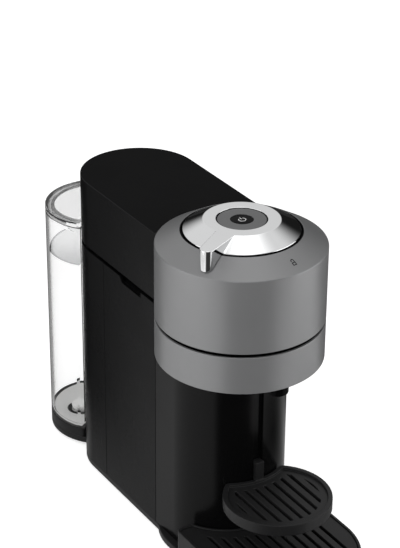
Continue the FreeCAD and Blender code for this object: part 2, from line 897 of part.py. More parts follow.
def upper_head_ring():
    shape = turned([
        (head_radius, ring_z), (head_radius, shoulder_z), (cone_opening, cone_z),
        (cone_opening, cone_z - ring_lip), (head_radius - wall, shoulder_z - wall / 2),
        (head_radius - wall, ring_z),
    ], head_y)
    shoulder = [edge for edge in shape.Edges
                if abs(edge.BoundBox.ZMin - shoulder_z) < run_gap and edge.BoundBox.ZLength < run_gap
                and edge.BoundBox.XLength > head_diameter - wall]
    shape = shape.makeFillet(edge_round, shoulder)
    window = block(-inner_half, inner_half, head_y, head_y + head_diameter, ring_z - cut_past,
                   shoulder_z - ring_window_drop)
    return shape.cut(window)


def lid_frame():
    shape = stadium(inner_half - seat_gap, head_y, rear_y, floor_z, floor_top)
    shape = shape.fuse(cylinder(head_radius - wall - seat_gap, floor_z, floor_top, 0, head_y))
    shape = shape.cut(cylinder(floor_hole_radius, floor_z - cut_past, floor_top + cut_past, 0, head_y))
    slot_half = arm_inner + arm_thickness + lug_gap / 2
    slot = block(-slot_half, slot_half, head_y + slot_start, rear_y + body_width, floor_z - cut_past,
                 floor_top + cut_past)
    shape = shape.cut(slot)
    lugs = []
    for side in (-1, 1):
        x0 = arm_inner + arm_thickness + lug_gap
        if side < 0:
            x0 = -x0 - lug_thickness
        rear = pivot_y + hinge_boss_radius
        corners = [(rear - lug_foot, floor_top), (rear, floor_top), (rear, pivot_z),
                   (pivot_y - hinge_boss_radius, pivot_z)]
        lugs.append(side_plate(corners, x0, x0 + lug_thickness))
        lugs.append(rod(hinge_boss_radius, x0, x0 + lug_thickness, pivot_y, pivot_z))
    shape = joined(shape, *lugs)
    for x, y in lid_screw_places:
        shape = shape.cut(cylinder(screw_radius + run_gap, floor_z - cut_past, floor_top + cut_past, x, y))
    return shape.cut(rod(pin_radius + run_gap, -body_radius, body_radius, pivot_y, pivot_z))


def lid_screws():
    return Part.makeCompound([screw(x, y, floor_z) for x, y in lid_screw_places])


# Lid: brewing drive

def bearing_carrier():
    inner = rotor_bearing_radius
    foot = ring(carrier_radius, inner, floor_top, floor_top + plate, 0, head_y)
    housing = ring(inner + holder_wall, inner, floor_top, floor_top + plate + rotor_bearing_height, 0, head_y)
    side = ring(carrier_radius, carrier_radius - plate, floor_top, carrier_top, 0, head_y)
    shape = joined(foot, housing, side)
    window = block(-window_half_width, window_half_width, head_y, head_y + 2 * carrier_radius,
                   carrier_top - window_height, carrier_top + cut_past)
    return shape.cut(window)


def rotor_bearing():
    z = floor_top + plate
    return ring(rotor_bearing_radius, rotor_shaft_radius + run_gap, z, z + rotor_bearing_height, 0, head_y)


def brew_rotor():
    low = floor_z - clamp_gap - clamp_height
    top = pulley_z + pulley_height + cut_past
    return turned([
        (rotor_bore, low), (clamp_radius, low), (clamp_radius, floor_z - clamp_gap),
        (rotor_shaft_radius, floor_z - clamp_gap), (rotor_shaft_radius, top), (rotor_bore, top),
    ], head_y)


def rotor_pulley():
    return ring(rotor_pulley_radius, rotor_shaft_radius, pulley_z, pulley_z + pulley_height, 0, head_y)


def motor_case():
    top = floor_top + motor_height
    shape = cylinder(motor_radius, floor_top, top, 0, motor_y)
    return shape.cut(cylinder(motor_shaft_radius + run_gap, floor_top + plate, top + cut_past, 0, motor_y))


def motor_shaft():
    low = floor_top + plate + seat_gap
    return cylinder(motor_shaft_radius, low, pulley_z + pulley_height + cut_past, 0, motor_y)


def motor_pulley():
    return ring(motor_pulley_radius, motor_shaft_radius, pulley_z, pulley_z + pulley_height, 0, motor_y)


def belt_loop(extra, z0, z1):
    front = rotor_pulley_radius + extra
    rear = motor_pulley_radius + extra
    lean = math.asin((front - rear) / motor_offset)
    across, along = math.cos(lean), math.sin(lean)
    front_left = Vector(-front * across, head_y + front * along, z0)
    front_right = Vector(front * across, head_y + front * along, z0)
    rear_left = Vector(-rear * across, motor_y + rear * along, z0)
    rear_right = Vector(rear * across, motor_y + rear * along, z0)
    edges = [
        arc(front_left, Vector(0, head_y - front, z0), front_right),
        Part.makeLine(front_right, rear_right),
        arc(rear_right, Vector(0, motor_y + rear, z0), rear_left),
        Part.makeLine(rear_left, front_left),
    ]
    return prism(edges, z0, z1)


def drive_belt():
    z0 = pulley_z + (pulley_height - belt_width) / 2
    outer = belt_loop(belt_gap + belt_thickness, z0, z0 + belt_width)
    return outer.cut(belt_loop(belt_gap, z0 - cut_past, z0 + belt_width + cut_past))


def injector():
    top = carrier_top - seat_gap
    head = cylinder(injector_radius, top - injector_height, top, 0, head_y)
    needle = cylinder(needle_radius, floor_z - needle_reach, top, 0, head_y)
    return joined(head, needle)


def lid_hose():
    level = carrier_top - seat_gap - injector_height / 2
    turn_y = head_y + lid_hose_turn
    reach = math.hypot(union_x, turn_y - head_y)
    end_x = union_x * (injector_radius + hose_radius) / reach
    end_y = head_y + (turn_y - head_y) * (injector_radius + hose_radius) / reach
    return tube([(union_x, union_y, floor_top + union_height), (union_x, union_y, level),
                 (union_x, turn_y, level), (end_x, end_y, level)], hose_radius)


def lid_union():
    return cylinder(union_radius, floor_top, floor_top + union_height, union_x, union_y)


def brew_seal():
    return ring(seal_outer, seal_inner, floor_z - seal_height, floor_z, 0, head_y)


def code_reader():
    rear = head_y + math.sqrt(seal_inner**2 - reader_half_width**2) - seat_gap
    return block(-reader_half_width, reader_half_width, rear - reader_depth, rear,
                 floor_z - reader_height, floor_z)


# Lid: knob, lever and button

def knob_spigot():
    flange = ring(carrier_radius, injector_radius, carrier_top, spigot_z, 0, head_y)
    inner = spigot_radius - spigot_wall
    post = ring(spigot_radius, inner, spigot_z, spigot_top, 0, head_y)
    ledge = ring(spigot_radius, inner - spigot_ledge, board_z - plate, board_z, 0, head_y)
    return joined(flange, post, ledge)


def button_board():
    board = cylinder(spigot_radius - spigot_wall - seat_gap, board_z, board_z + board_thickness, 0, head_y)
    half = switch_half_width
    switch = block(-half, half, head_y - half, head_y + half, board_z + board_thickness,
                   board_z + board_thickness + switch_height)
    return joined(board, switch)


def brew_button():
    shoulder = button_top - button_height
    flange = spigot_radius - spigot_wall - seat_gap
    shape = turned([(0, button_low), (flange, button_low), (flange, shoulder), (button_radius, shoulder),
                    (button_radius, button_top), (0, button_top)], head_y)
    lens_z = button_top - button_lens_drop - button_lens_height
    return shape.cut(cylinder(button_lens_radius + run_gap, lens_z, button_top + cut_past, 0, head_y))


def button_lens():
    top = button_top - button_lens_drop
    return cylinder(button_lens_radius, top - button_lens_height, top, 0, head_y)


def knob_bezel():
    outer = cone_opening - run_gap
    top = cone_z - seat_gap
    low = cone_z - bezel_drop
    inner = outer - bezel_wall
    return turned([(bezel_inner, low), (outer, low), (outer, top), (inner, top), (inner, low + bezel_floor),
                   (bezel_inner, low + bezel_floor)], head_y)


def knob_disc():
    under = overall_height - knob_skin
    slope = (knob_base - knob_top_radius) / (overall_height - knob_edge_z)
    inner_base = knob_base - knob_skin
    hub_z = spigot_z + hub_rise
    return turned([
        (knob_base, knob_edge_z - knob_lip), (knob_base, knob_edge_z), (knob_top_radius, overall_height),
        (knob_hole, overall_height), (knob_hole, under), (knob_hub, under), (knob_hub, hub_z),
        (knob_hub + hub_wall, hub_z), (knob_hub + hub_wall, under),
        (inner_base - slope * (under - knob_edge_z), under), (inner_base, knob_edge_z),
        (inner_base, knob_edge_z - knob_lip),
    ], head_y)


def lever_arm():
    # Drawn along +X, then turned to its place
    tip = lever_reach - lever_tip_half_width
    low = shoulder_z
    root_left = Vector(lever_root_radius, lever_root_half_width, low)
    root_right = Vector(lever_root_radius, -lever_root_half_width, low)
    tip_left = Vector(tip, lever_tip_half_width, low)
    tip_right = Vector(tip, -lever_tip_half_width, low)
    edges = [
        Part.makeLine(root_left, root_right),
        Part.makeLine(root_right, tip_right),
        arc(tip_right, Vector(lever_reach, 0, low), tip_left),
        Part.makeLine(tip_left, root_left),
    ]
    arm = prism(edges, low, overall_height)
    top = [edge for edge in arm.Edges if edge.BoundBox.ZMin > overall_height - run_gap
           and edge.BoundBox.XMax > lever_root_radius + run_gap]
    arm = arm.makeFillet(lever_round, top)
    past = head_diameter
    slope = cone_rise / (head_radius - cone_opening)
    past_z = shoulder_z + lever_clear - slope * (past - head_radius)
    rim_z = cone_z + lever_clear
    under = turned([(0, base_z), (past, base_z), (past, past_z), (cone_opening, rim_z), (0, rim_z)], 0)
    return arm.cut(under)


def lock_lever():
    arm = lever_arm()
    arm.rotate(Vector(0, 0, 0), Vector(0, 0, 1), lever_angle - 90)
    arm.translate(Vector(0, head_y, 0))
    inner_base = knob_base - knob_skin
    under = overall_height - knob_skin
    inside = turned([
        (0, base_z), (inner_base, base_z), (inner_base, knob_edge_z), (knob_top_radius - knob_skin, under),
        (0, under),
    ], head_y)
    return joined(knob_disc(), arm.cut(inside))


def lock_ring():
    z0 = spigot_z + hub_rise
    shape = ring(lock_ring_radius, knob_hub + hub_wall, z0, z0 + lock_ring_height, 0, head_y)
    tabs = []
    for step in range(lock_tab_count):
        tab = block(lock_ring_radius - plate, lock_tab_radius, -lock_tab_width / 2, lock_tab_width / 2, z0,
                    z0 + lock_ring_height)
        tab.rotate(Vector(0, 0, 0), Vector(0, 0, 1), step * 360 / lock_tab_count)
        tab.translate(Vector(0, head_y, 0))
        tabs.append(tab)
    return joined(shape, *tabs)


pieces = {
    "base_plate": base_plate(),
    "rubber_feet": rubber_feet(),
    "base_screws": base_screws(),
    "main_frame": main_frame(),
    "hinge_pin": hinge_pin(),
    "left_side_panel": side_panel(-1),
    "right_side_panel": side_panel(1),
    "rear_shell": rear_shell(),
    "cable_gland": cable_gland(),
    "lower_head_ring": lower_head_ring(),
    "head_floor": head_floor(),
    "brew_bowl": brew_bowl(),
    "holder_bearing": holder_bearing(),
    "coffee_spout": coffee_spout(),
    "pod_holder": pod_holder(),
    "pod_bin": pod_bin(),
    "cup_support": cup_support(),
    "drip_tray": drip_tray(),
    "drip_grid": drip_grid(),
    "water_tank": water_tank(),
    "tank_lid": tank_lid(),
    "tank_valve": tank_valve(),
    "tank_dock": tank_dock(),
    "tank_socket": tank_socket(),
    "suction_hose": suction_hose(hose_radius),
    "feed_hose": feed_hose(),
    "flow_meter": flow_meter(),
    "pump_mount": pump_mount(),
    "water_pump": water_pump(),
    "heater_stand": heater_stand(),
    "heater_block": heater_block(),
    "pressure_hose": pressure_hose(),
    "hot_hose": hot_hose(),
    "deck_union": deck_union(),
    "control_board": control_board(),
    "top_cover": top_cover(),
    "upper_head_ring": upper_head_ring(),
    "lid_frame": lid_frame(),
    "lid_screws": lid_screws(),
    "bearing_carrier": bearing_carrier(),
    "rotor_bearing": rotor_bearing(),
    "brew_rotor": brew_rotor(),
    "rotor_pulley": rotor_pulley(),
    "motor_case": motor_case(),
    "motor_shaft": motor_shaft(),
    "motor_pulley": motor_pulley(),
    "drive_belt": drive_belt(),
    "injector": injector(),
    "lid_hose": lid_hose(),
    "lid_union": lid_union(),
    "brew_seal": brew_seal(),
    "code_reader": code_reader(),
    "knob_spigot": knob_spigot(),
    "button_board": button_board(),
    "brew_button": brew_button(),
    "button_lens": button_lens(),
    "knob_bezel": knob_bezel(),
    "lock_lever": lock_lever(),
    "lock_ring": lock_ring(),
}

os.makedirs("parts", exist_ok=True)
for node, shape in pieces.items():
    shape.exportStep("parts/" + node + ".step")
    print(node, len(shape.Solids), shape.isValid(), round(shape.Volume))
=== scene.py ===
import bpy
import bmesh
import math
from mathutils import Matrix, Vector


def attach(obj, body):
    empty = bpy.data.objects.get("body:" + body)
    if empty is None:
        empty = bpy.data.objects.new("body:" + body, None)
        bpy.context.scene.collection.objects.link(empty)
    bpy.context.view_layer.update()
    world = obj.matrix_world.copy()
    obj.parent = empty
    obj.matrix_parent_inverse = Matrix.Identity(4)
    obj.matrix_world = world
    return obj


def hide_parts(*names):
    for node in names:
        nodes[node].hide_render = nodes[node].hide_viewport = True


# A pod coffee machine, dressed on its solids. Pieces are drawn in millimetres and scaled at the end.

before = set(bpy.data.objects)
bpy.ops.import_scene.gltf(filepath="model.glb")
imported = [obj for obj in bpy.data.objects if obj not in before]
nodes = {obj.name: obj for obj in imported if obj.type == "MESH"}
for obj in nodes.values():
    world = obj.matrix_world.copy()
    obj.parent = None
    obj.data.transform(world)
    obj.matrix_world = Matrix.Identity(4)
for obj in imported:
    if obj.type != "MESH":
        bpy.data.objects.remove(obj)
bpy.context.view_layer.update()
scene = bpy.context.scene
unit = 0.001                   # metres in a millimetre
past = 1.0                     # how far a cutter reaches past the face it cuts
weld = 0.0005                  # points nearer than this are one
looseWeld = 0.002              # the same for drawn lines, the lever and copies of solids
near = 0.1                     # how far from a face or radius still counts as on it
sharpFrom = 28                 # degrees from which an edge is rounded
smoothUpTo = 40                # degrees up to which shading runs on over an edge
flatUpTo = 0.3                 # degrees up to which two faces are one
turnSteps = 160                # sides of a turned piece
rodSteps = 48                  # sides of a small round cutter
headY = -74.0                  # axis of the round head
rearY = 91.0                   # axis of the body's round rear
tankY = 164.0                  # axis of the water tank
print("frame loaded:", len(nodes), "nodes")


# shader helpers

class Shade:
    # one socket of a material; sums on it add Math nodes
    def __init__(self, tree, socket=None):
        self.tree = tree
        self.socket = socket

    def node(self, kind, settings=None, sockets=None, out=0):
        # adds a node: its settings come first, then values or links for its sockets
        made = self.tree.nodes.new(kind)
        for key, value in (settings or {}).items():
            setattr(made, key, value)
        feed(self.tree, made, sockets or {})
        return Shade(self.tree, made.outputs[out])

    def sums(self, operation, first, second):
        return self.node("ShaderNodeMath", {"operation": operation}, {0: first, 1: second})

    def __add__(self, other):
        return self.sums("ADD", self, other)

    __radd__ = __add__

    def __sub__(self, other):
        return self.sums("SUBTRACT", self, other)

    def __rsub__(self, other):
        return self.sums("SUBTRACT", other, self)

    def __mul__(self, other):
        return self.sums("MULTIPLY", self, other)

    __rmul__ = __mul__

    def over(self, low, high):
        # 0 at low, 1 at high, smooth between
        return self.node("ShaderNodeMapRange", {"interpolation_type": "SMOOTHSTEP"},
                         {"Value": self, "From Min": low, "From Max": high})

    def along(self, way):
        # how far a place lies along a direction
        return self.node("ShaderNodeVectorMath", {"operation": "DOT_PRODUCT"}, {0: self, 1: way}, out="Value")

    def farFrom(self, spot):
        return self.node("ShaderNodeVectorMath", {"operation": "DISTANCE"}, {0: self, 1: spot}, out="Value")

    def fromTankAxis(self):
        flat = self.node("ShaderNodeVectorMath", {"operation": "MULTIPLY"}, {0: self, 1: (1, 1, 0)})
        return flat.farFrom((0, tankY * unit, 0))

    def noise(self, scale, detail, stretch=None):
        place = self
        if stretch:
            place = self.node("ShaderNodeMapping", None, {"Vector": self, "Scale": stretch})
        return self.node("ShaderNodeTexNoise", None, {"Vector": place, "Scale": scale, "Detail": detail})

    def rays(self):
        # whether a ray comes from the camera, through glass or off gloss, and whether it met gloss before
        kinds = ["Is Camera Ray", "Is Transmission Ray", "Is Glossy Ray", "Glossy Depth"]
        eye, glass, gloss, depth = [self.node("ShaderNodeLightPath", out=kind) for kind in kinds]
        return eye, glass, gloss, depth.over(0, 1)

    def blend(self, first, second):
        # this value mixes two colours
        return self.node("ShaderNodeMix", {"data_type": "RGBA"}, {"Factor": self, 6: first, 7: second}, out=2)


def feed(tree, node, sockets):
    # links or sets a node's sockets
    for key, value in sockets.items():
        if isinstance(value, Shade):
            tree.links.new(value.socket, node.inputs[key])
        else:
            node.inputs[key].default_value = value


def blankFinish(name):
    material = bpy.data.materials.new(name)
    material.use_nodes = True
    tree = material.node_tree
    shader = tree.nodes["Principled BSDF"]
    place = Shade(tree).node("ShaderNodeTexCoord", out="Object")
    return material, tree, shader, place


def grained(place, look, height):
    # the normal of a surface with a fine relief
    return place.node("ShaderNodeBump", None, {
        "Strength": look["bump"], "Distance": look["depth"], "Height": height})


def grey(level):
    return (level, level, level, 1)


def opaque(colour, share=1.0):
    # a colour, or a share of it, as a socket takes it
    return tuple(min(1, part * share) for part in colour) + (1,)


def mottled(mix, look):
    return mix.blend(opaque(look["colour"], 1 - look["mottle"]), opaque(look["colour"], 1 + look["mottle"]))


def mouldedFinish(name, look):
    # plastic, rubber or paint: mottled colour, a fine eroded grain and faint handling marks
    material, tree, shader, place = blankFinish(name)
    cloud = place.noise(look["cloudScale"], detail=3)
    grain = place.noise(look["grainScale"], detail=2)
    smudge = place.noise(look["smudgeScale"], detail=4).over(*look["smudgeFade"])
    mix = cloud * look["cloudShare"] + grain * (1 - look["cloudShare"])
    feed(tree, shader, {
        "Base Color": mottled(mix, look),
        "Roughness": look["rough"] + (grain - 0.5) * look["roughGrain"] + smudge * look["roughSmudge"],
        "Normal": grained(place, look, grain),
        "Specular IOR Level": look["specular"],
        "Metallic": look["metal"]})
    return material


def metalFinish(name, look):
    # plated or worked metal: fine lines along one way, faint smears
    material, tree, shader, place = blankFinish(name)
    lines = place.noise(look["lineScale"], detail=2, stretch=(1, 1, look["stretch"]))
    smear = place.noise(look["smearScale"], detail=4).over(*look["smearFade"])
    mix = lines * look["lineShare"] + smear * (1 - look["lineShare"])
    feed(tree, shader, {
        "Base Color": mottled(mix, look),
        "Roughness": look["rough"] + lines * look["roughLine"] + smear * look["roughSmear"],
        "Metallic": 1.0})
    if look["bump"]:
        feed(tree, shader, {"Normal": grained(place, look, lines)})
    return material


def clearFinish(name, look):
    # clear moulded plastic or water: faint haze and ripple, greyer where it turns away, a painted shade
    material, tree, shader, place = blankFinish(name)
    rough = look["rough"]
    if look["roughHaze"]:
        rough = rough + place.noise(look["hazeScale"], detail=3) * look["roughHaze"]
    ripple = place.noise(look["rippleScale"], detail=2)
    # painted shade: darker where the surface turns from the eye
    edge = place.node("ShaderNodeLayerWeight", out="Facing").over(*look["edgeFade"])
    body = grey(look["level"])
    # painted shade: a grey band round the lid's thick rim, standing in for the dark that its refraction shows
    if "rimLevel" in look:
        body = place.fromTankAxis().over(*look["rimFade"]).blend(body, grey(look["rimLevel"]))
    feed(tree, shader, {
        "Base Color": edge.blend(body, grey(look["edgeLevel"])),
        "Roughness": rough,
        "Normal": grained(place, look, ripple),
        "Transmission Weight": 1.0,
        "IOR": look["ior"]})
    # lamp light goes through, so what stands inside is lit
    shadow = place.node("ShaderNodeLightPath", out="Is Shadow Ray")
    through = place.node("ShaderNodeBsdfTransparent", None, {"Color": grey(look["lampThrough"])})
    solid = Shade(tree, shader.outputs[0])
    mixed = place.node("ShaderNodeMixShader", None, {0: shadow, 1: solid, 2: through})
    feed(tree, tree.nodes["Material Output"], {"Surface": mixed})
    return material


def waterFinish(name, look):
    # the water's face: darker beside the machine, a painted shadow of it, and a painted dark band at the rim
    # along the wall
    material, tree, shader, place = blankFinish(name)
    away = place.along(look["way"]).over(*look["fade"])
    body = away.blend(opaque(look["nearColour"]), opaque(look["farColour"]))
    rim = place.fromTankAxis().over(*look["rimFade"])
    feed(tree, shader, {
        "Base Color": rim.blend(body, opaque(look["rimColour"])),
        "Roughness": 0.0,
        "Transmission Weight": 1.0,
        "IOR": look["ior"]})
    return material


def boardFinish(name, look):
    # lacquered circuit board with a grid of tracks and pads
    material, tree, shader, place = blankFinish(name)
    turned = place.node("ShaderNodeMapping", None, {"Vector": place, "Rotation": (math.radians(90), 0, 0)})
    tracks = turned.node("ShaderNodeTexBrick", {"offset": 0.5, "squash": look["squash"]}, {
        "Vector": turned, "Scale": look["trackScale"], "Mortar Size": look["trackWidth"], "Mortar": grey(1),
        "Color1": grey(0), "Color2": grey(0)})
    spots = place.node("ShaderNodeTexVoronoi", None, {"Vector": place, "Scale": look["padScale"]},
                       out="Distance")
    cloud = place.noise(look["cloudScale"], detail=3)
    base = cloud.blend(opaque(look["colour"]), opaque(look["colour"], look["cloudGain"]))
    lined = tracks.blend(base, opaque(look["colour"], look["trackGain"]))
    pad = 1 - spots.over(*look["padFade"])
    feed(tree, shader, {
        "Base Color": pad.blend(lined, opaque(look["padColour"])),
        "Roughness": look["rough"] + cloud * look["roughCloud"],
        "Metallic": pad})
    return material


# values of the finishes; scales are per metre, depths and fades by place in metres
plasticBase = dict(cloudScale=45, grainScale=4200, smudgeScale=22, smudgeFade=(0.42, 0.7), cloudShare=0.6,
                   mottle=0.2, roughGrain=0.08, roughSmudge=0.05, bump=0.25, depth=0.00004, specular=0.5,
                   metal=0.0)
plasticLooks = {
    "greySatin": dict(colour=(0.212, 0.213, 0.216), mottle=0.035, rough=0.34, metal=0.45),
    "buttonGrey": dict(colour=(0.135, 0.136, 0.138), mottle=0.035, rough=0.34, metal=0.45),
    # blackSatin and blackSide are one plastic, set apart in darkness and shine for how light falls on a top
    # and a side: painted shade and sheen
    "blackSatin": dict(colour=(0.005, 0.005, 0.0052), rough=0.42, specular=0.014),
    "blackSide": dict(colour=(0.003, 0.003, 0.0032), rough=0.27, roughGrain=0.05, specular=0.08),
    # a painted highlight: a shinier, slightly paler strip for the cover's top edge
    "blackEdgeHighlight": dict(colour=(0.006, 0.006, 0.0062), rough=0.36, specular=0.3),
    "blackTray": dict(colour=(0.011, 0.011, 0.0113), rough=0.4, specular=0.22),
    "blackShine": dict(colour=(0.0022, 0.0022, 0.0023), rough=0.2, roughGrain=0.03, bump=0.06, specular=0.13),
    "blackMatt": dict(colour=(0.0045, 0.0045, 0.0048), mottle=0.25, rough=0.55, grainScale=2600,
                      specular=0.04),
    "blackInner": dict(colour=(0.014, 0.014, 0.0145), rough=0.48, specular=0.3),
    "blackGloss": dict(colour=(0.002, 0.002, 0.0021), rough=0.09, roughGrain=0.02, bump=0.04, specular=0.03),
    "rubber": dict(colour=(0.018, 0.018, 0.0185), mottle=0.3, rough=0.72, grainScale=1800, bump=0.5,
                   specular=0.3),
    "hose": dict(colour=(0.5, 0.5, 0.47), mottle=0.08, rough=0.42, bump=0.1),
    "whiteNylon": dict(colour=(0.8, 0.8, 0.79), mottle=0.04, rough=0.45),
    "paint": dict(colour=(0.05, 0.052, 0.056), mottle=0.12, rough=0.42, grainScale=1300, bump=0.3),
    "markDark": dict(colour=(0.006, 0.006, 0.0062), rough=0.5, specular=0.1),
    "markWhite": dict(colour=(0.8, 0.8, 0.8), mottle=0.04, rough=0.5),
}
metalBase = dict(mottle=0.1, lineShare=0.7, smearFade=(0.4, 0.75), stretch=9, roughSmear=0.1, bump=0.2,
                 depth=0.00002)
metalLooks = {
    "chrome": dict(colour=(0.86, 0.865, 0.87), mottle=0.015, lineScale=90, smearScale=35, stretch=6,
                   rough=0.035, roughLine=0.02, roughSmear=0.03, bump=0),
    "steel": dict(colour=(0.58, 0.575, 0.565), lineScale=900, smearScale=30, stretch=12, rough=0.24,
                  roughLine=0.12, roughSmear=0.08),
    "aluminium": dict(colour=(0.68, 0.685, 0.69), mottle=0.08, lineScale=700, smearScale=28, rough=0.3,
                      roughLine=0.12, bump=0.3),
    "brass": dict(colour=(0.72, 0.52, 0.22), lineScale=800, smearScale=40, rough=0.26, roughLine=0.1),
}
clearBase = dict(rough=0.0, roughHaze=0.02, hazeScale=30, rippleScale=14, bump=0.02, depth=0.0002,
                 lampThrough=0.92)
# edgeLevel is the painted shade where a clear surface turns away
clearLooks = {
    "clear": dict(level=0.99, edgeLevel=0.12, edgeFade=(0.56, 0.84), rimLevel=0.18, rimFade=(0.0415, 0.0425),
                  ior=1.4),
    "clearWall": dict(level=0.995, edgeLevel=0.75, edgeFade=(0.66, 0.9), ior=1.1),
    "clearHorn": dict(level=0.995, edgeLevel=0.96, edgeFade=(0.7, 1.0), ior=1.015),
    "lidHorn": dict(level=0.8, edgeLevel=0.4, edgeFade=(0.56, 0.84), ior=1.08),
    "frosted": dict(level=1, edgeLevel=0.97, edgeFade=(0.6, 1.0), ior=1.06, rough=0.2, roughHaze=0.1,
                    hazeScale=300, rippleScale=900, bump=0.05),
    "water": dict(level=1, edgeLevel=0.95, edgeFade=(0.7, 1.0), ior=1.02, roughHaze=0.0, rippleScale=20,
                  bump=0.03),
}
# the water's face carries painted shade: the machine's shadow and a dark band at its rim
waterTopLook = dict(nearColour=(0.3, 0.305, 0.31), farColour=(0.66, 0.665, 0.67), fade=(0.095, 0.16),
                    way=(0.527, 0.85, 0), rimColour=(0.2, 0.205, 0.21), rimFade=(0.0448, 0.0472), ior=1.02)
boardLook = dict(colour=(0.012, 0.09, 0.035), cloudScale=40, cloudGain=1.5, trackScale=160, trackWidth=0.06,
                 trackGain=2.2, squash=0.7, padScale=260, padFade=(0.1, 0.14), padColour=(0.62, 0.6, 0.55),
                 rough=0.32, roughCloud=0.15)
finishes = {}
finishKinds = [
    (mouldedFinish, plasticBase, plasticLooks),
    (metalFinish, metalBase, metalLooks),
    (clearFinish, clearBase, clearLooks),
    (waterFinish, {}, {"waterTopPaintedShade": waterTopLook}),
    (boardFinish, {}, {"board": boardLook}),
]
for make, base, looks in finishKinds:
    for name, look in looks.items():
        finishes[name] = make(name, dict(base, **look))
print("finishes made:", len(finishes))


# mesh helpers

def onlyVerts(parts):
    return [part for part in parts if isinstance(part, bmesh.types.BMVert)]


def turnedShape(outline, y=headY, x=0.0, steps=turnSteps):
    # spins a closed outline of (radius, height) about an upright axis
    bm = bmesh.new()
    verts = [bm.verts.new((radius, 0, height)) for radius, height in outline]
    edges = [bm.edges.new(pair) for pair in zip(verts, verts[1:] + verts[:1])]
    bmesh.ops.spin(bm, geom=verts + edges, cent=(0, 0, 0), axis=(0, 0, 1), angle=2 * math.pi, steps=steps,
                   use_merge=True)
    bmesh.ops.remove_doubles(bm, verts=bm.verts, dist=weld)
    bmesh.ops.dissolve_degenerate(bm, edges=bm.edges, dist=weld)
    bmesh.ops.translate(bm, verts=bm.verts, vec=(x, y, 0))
    bmesh.ops.recalc_face_normals(bm, faces=bm.faces)
    return bm


def rodShape(radius, low, high, x, y):
    return turnedShape([(0, low), (radius, low), (radius, high), (0, high)], y, x, rodSteps)


class Pen:
    # draws a flat line of runs and arcs at one height
    def __init__(self, x, y, z):
        self.bm = bmesh.new()
        self.z = z
        self.tip = self.bm.verts.new((x, y, z))

    def run(self, x, y):
        grown = bmesh.ops.extrude_vert_indiv(self.bm, verts=[self.tip])
        self.tip = grown["verts"][0]
        self.tip.co = (x, y, self.z)
        return self

    def arc(self, x, y, degrees, steps):
        turned = bmesh.ops.spin(self.bm, geom=[self.tip], cent=(x, y, self.z), axis=(0, 0, 1),
                                angle=math.radians(degrees), steps=steps)
        self.tip = onlyVerts(turned["geom_last"])[0]
        return self

    def face(self):
        bmesh.ops.remove_doubles(self.bm, verts=self.bm.verts, dist=looseWeld)
        bmesh.ops.contextual_create(self.bm, geom=self.bm.edges)
        return self.bm


def thicken(bm, rise):
    # raises a flat face into a closed block
    grown = bmesh.ops.extrude_face_region(bm, geom=list(bm.faces))
    bmesh.ops.translate(bm, verts=onlyVerts(grown["geom"]), vec=(0, 0, rise))
    bmesh.ops.recalc_face_normals(bm, faces=bm.faces)
    return bm


def addBox(bm, x0, x1, y0, y1, z0, z1):
    verts = bmesh.ops.create_cube(bm, size=1.0)["verts"]
    bmesh.ops.scale(bm, vec=(x1 - x0, y1 - y0, z1 - z0), verts=verts)
    bmesh.ops.translate(bm, vec=((x0 + x1) / 2, (y0 + y1) / 2, (z0 + z1) / 2), verts=verts)
    return bm


def looseObject(bm, name="loose"):
    mesh = bpy.data.meshes.new(name)
    bm.to_mesh(mesh)
    bm.free()
    made = bpy.data.objects.new(name, mesh)
    scene.collection.objects.link(made)
    return made


def settledShape(made):
    # the shape that an object's modifiers make; the object itself goes
    bpy.context.view_layer.update()
    settled = made.evaluated_get(bpy.context.evaluated_depsgraph_get())
    mesh = bpy.data.meshes.new_from_object(settled)
    bm = bmesh.new()
    bm.from_mesh(mesh)
    bpy.data.meshes.remove(mesh)
    bpy.data.objects.remove(made)
    return bm


def carve(bm, tools, operation="DIFFERENCE"):
    # takes the tools away from a shape, or joins them to it
    made = looseObject(bm)
    helpers = []
    for tool in tools:
        helper = looseObject(tool, "tool")
        cut = made.modifiers.new("carve", "BOOLEAN")
        cut.operation = operation
        cut.solver = "EXACT"
        cut.object = helper
        helpers.append(helper)
    shape = settledShape(made)
    for helper in helpers:
        bpy.data.objects.remove(helper)
    bmesh.ops.remove_doubles(shape, verts=shape.verts, dist=weld)
    return shape


def sharpEdges(bm, angle):
    # the edges that turn by more than an angle, each with its middle
    for edge in bm.edges:
        if len(edge.link_faces) == 2 and edge.calc_face_angle(0) > math.radians(angle):
            yield edge, (edge.verts[0].co + edge.verts[1].co) / 2


def soften(bm, width, segments=3, angle=sharpFrom, pick=None):
    # rounds the sharp edges, or those that pick chooses
    sharp = [edge for edge, middle in sharpEdges(bm, angle) if pick is None or pick(middle)]
    bmesh.ops.bevel(bm, geom=sharp, offset=width, segments=segments, profile=0.5, affect="EDGES",
                    clamp_overlap=False, material=-1)


def softenBy(bm, width, weigh, segments):
    # rounds each sharp edge by its own share of the width
    shares = bm.edges.layers.float.new("bevel_weight_edge")
    for edge, middle in sharpEdges(bm, sharpFrom):
        edge[shares] = weigh(middle)
    made = looseObject(bm)
    rounding = made.modifiers.new("rounding", "BEVEL")
    rounding.limit_method = "WEIGHT"
    rounding.width = width
    rounding.segments = segments
    rounding.use_clamp_overlap = False
    return settledShape(made)


def joinFlats(bm):
    # makes flat faces whole
    bmesh.ops.dissolve_limit(bm, angle_limit=math.radians(flatUpTo), verts=bm.verts, edges=bm.edges,
                             delimit={"NORMAL"})


def nodeShape(name):
    # a merged copy of a solid's mesh
    bm = bmesh.new()
    bm.from_mesh(nodes[name].data)
    bmesh.ops.scale(bm, vec=(1 / unit,) * 3, verts=bm.verts)
    bmesh.ops.remove_doubles(bm, verts=bm.verts, dist=looseWeld)
    joinFlats(bm)
    return bm


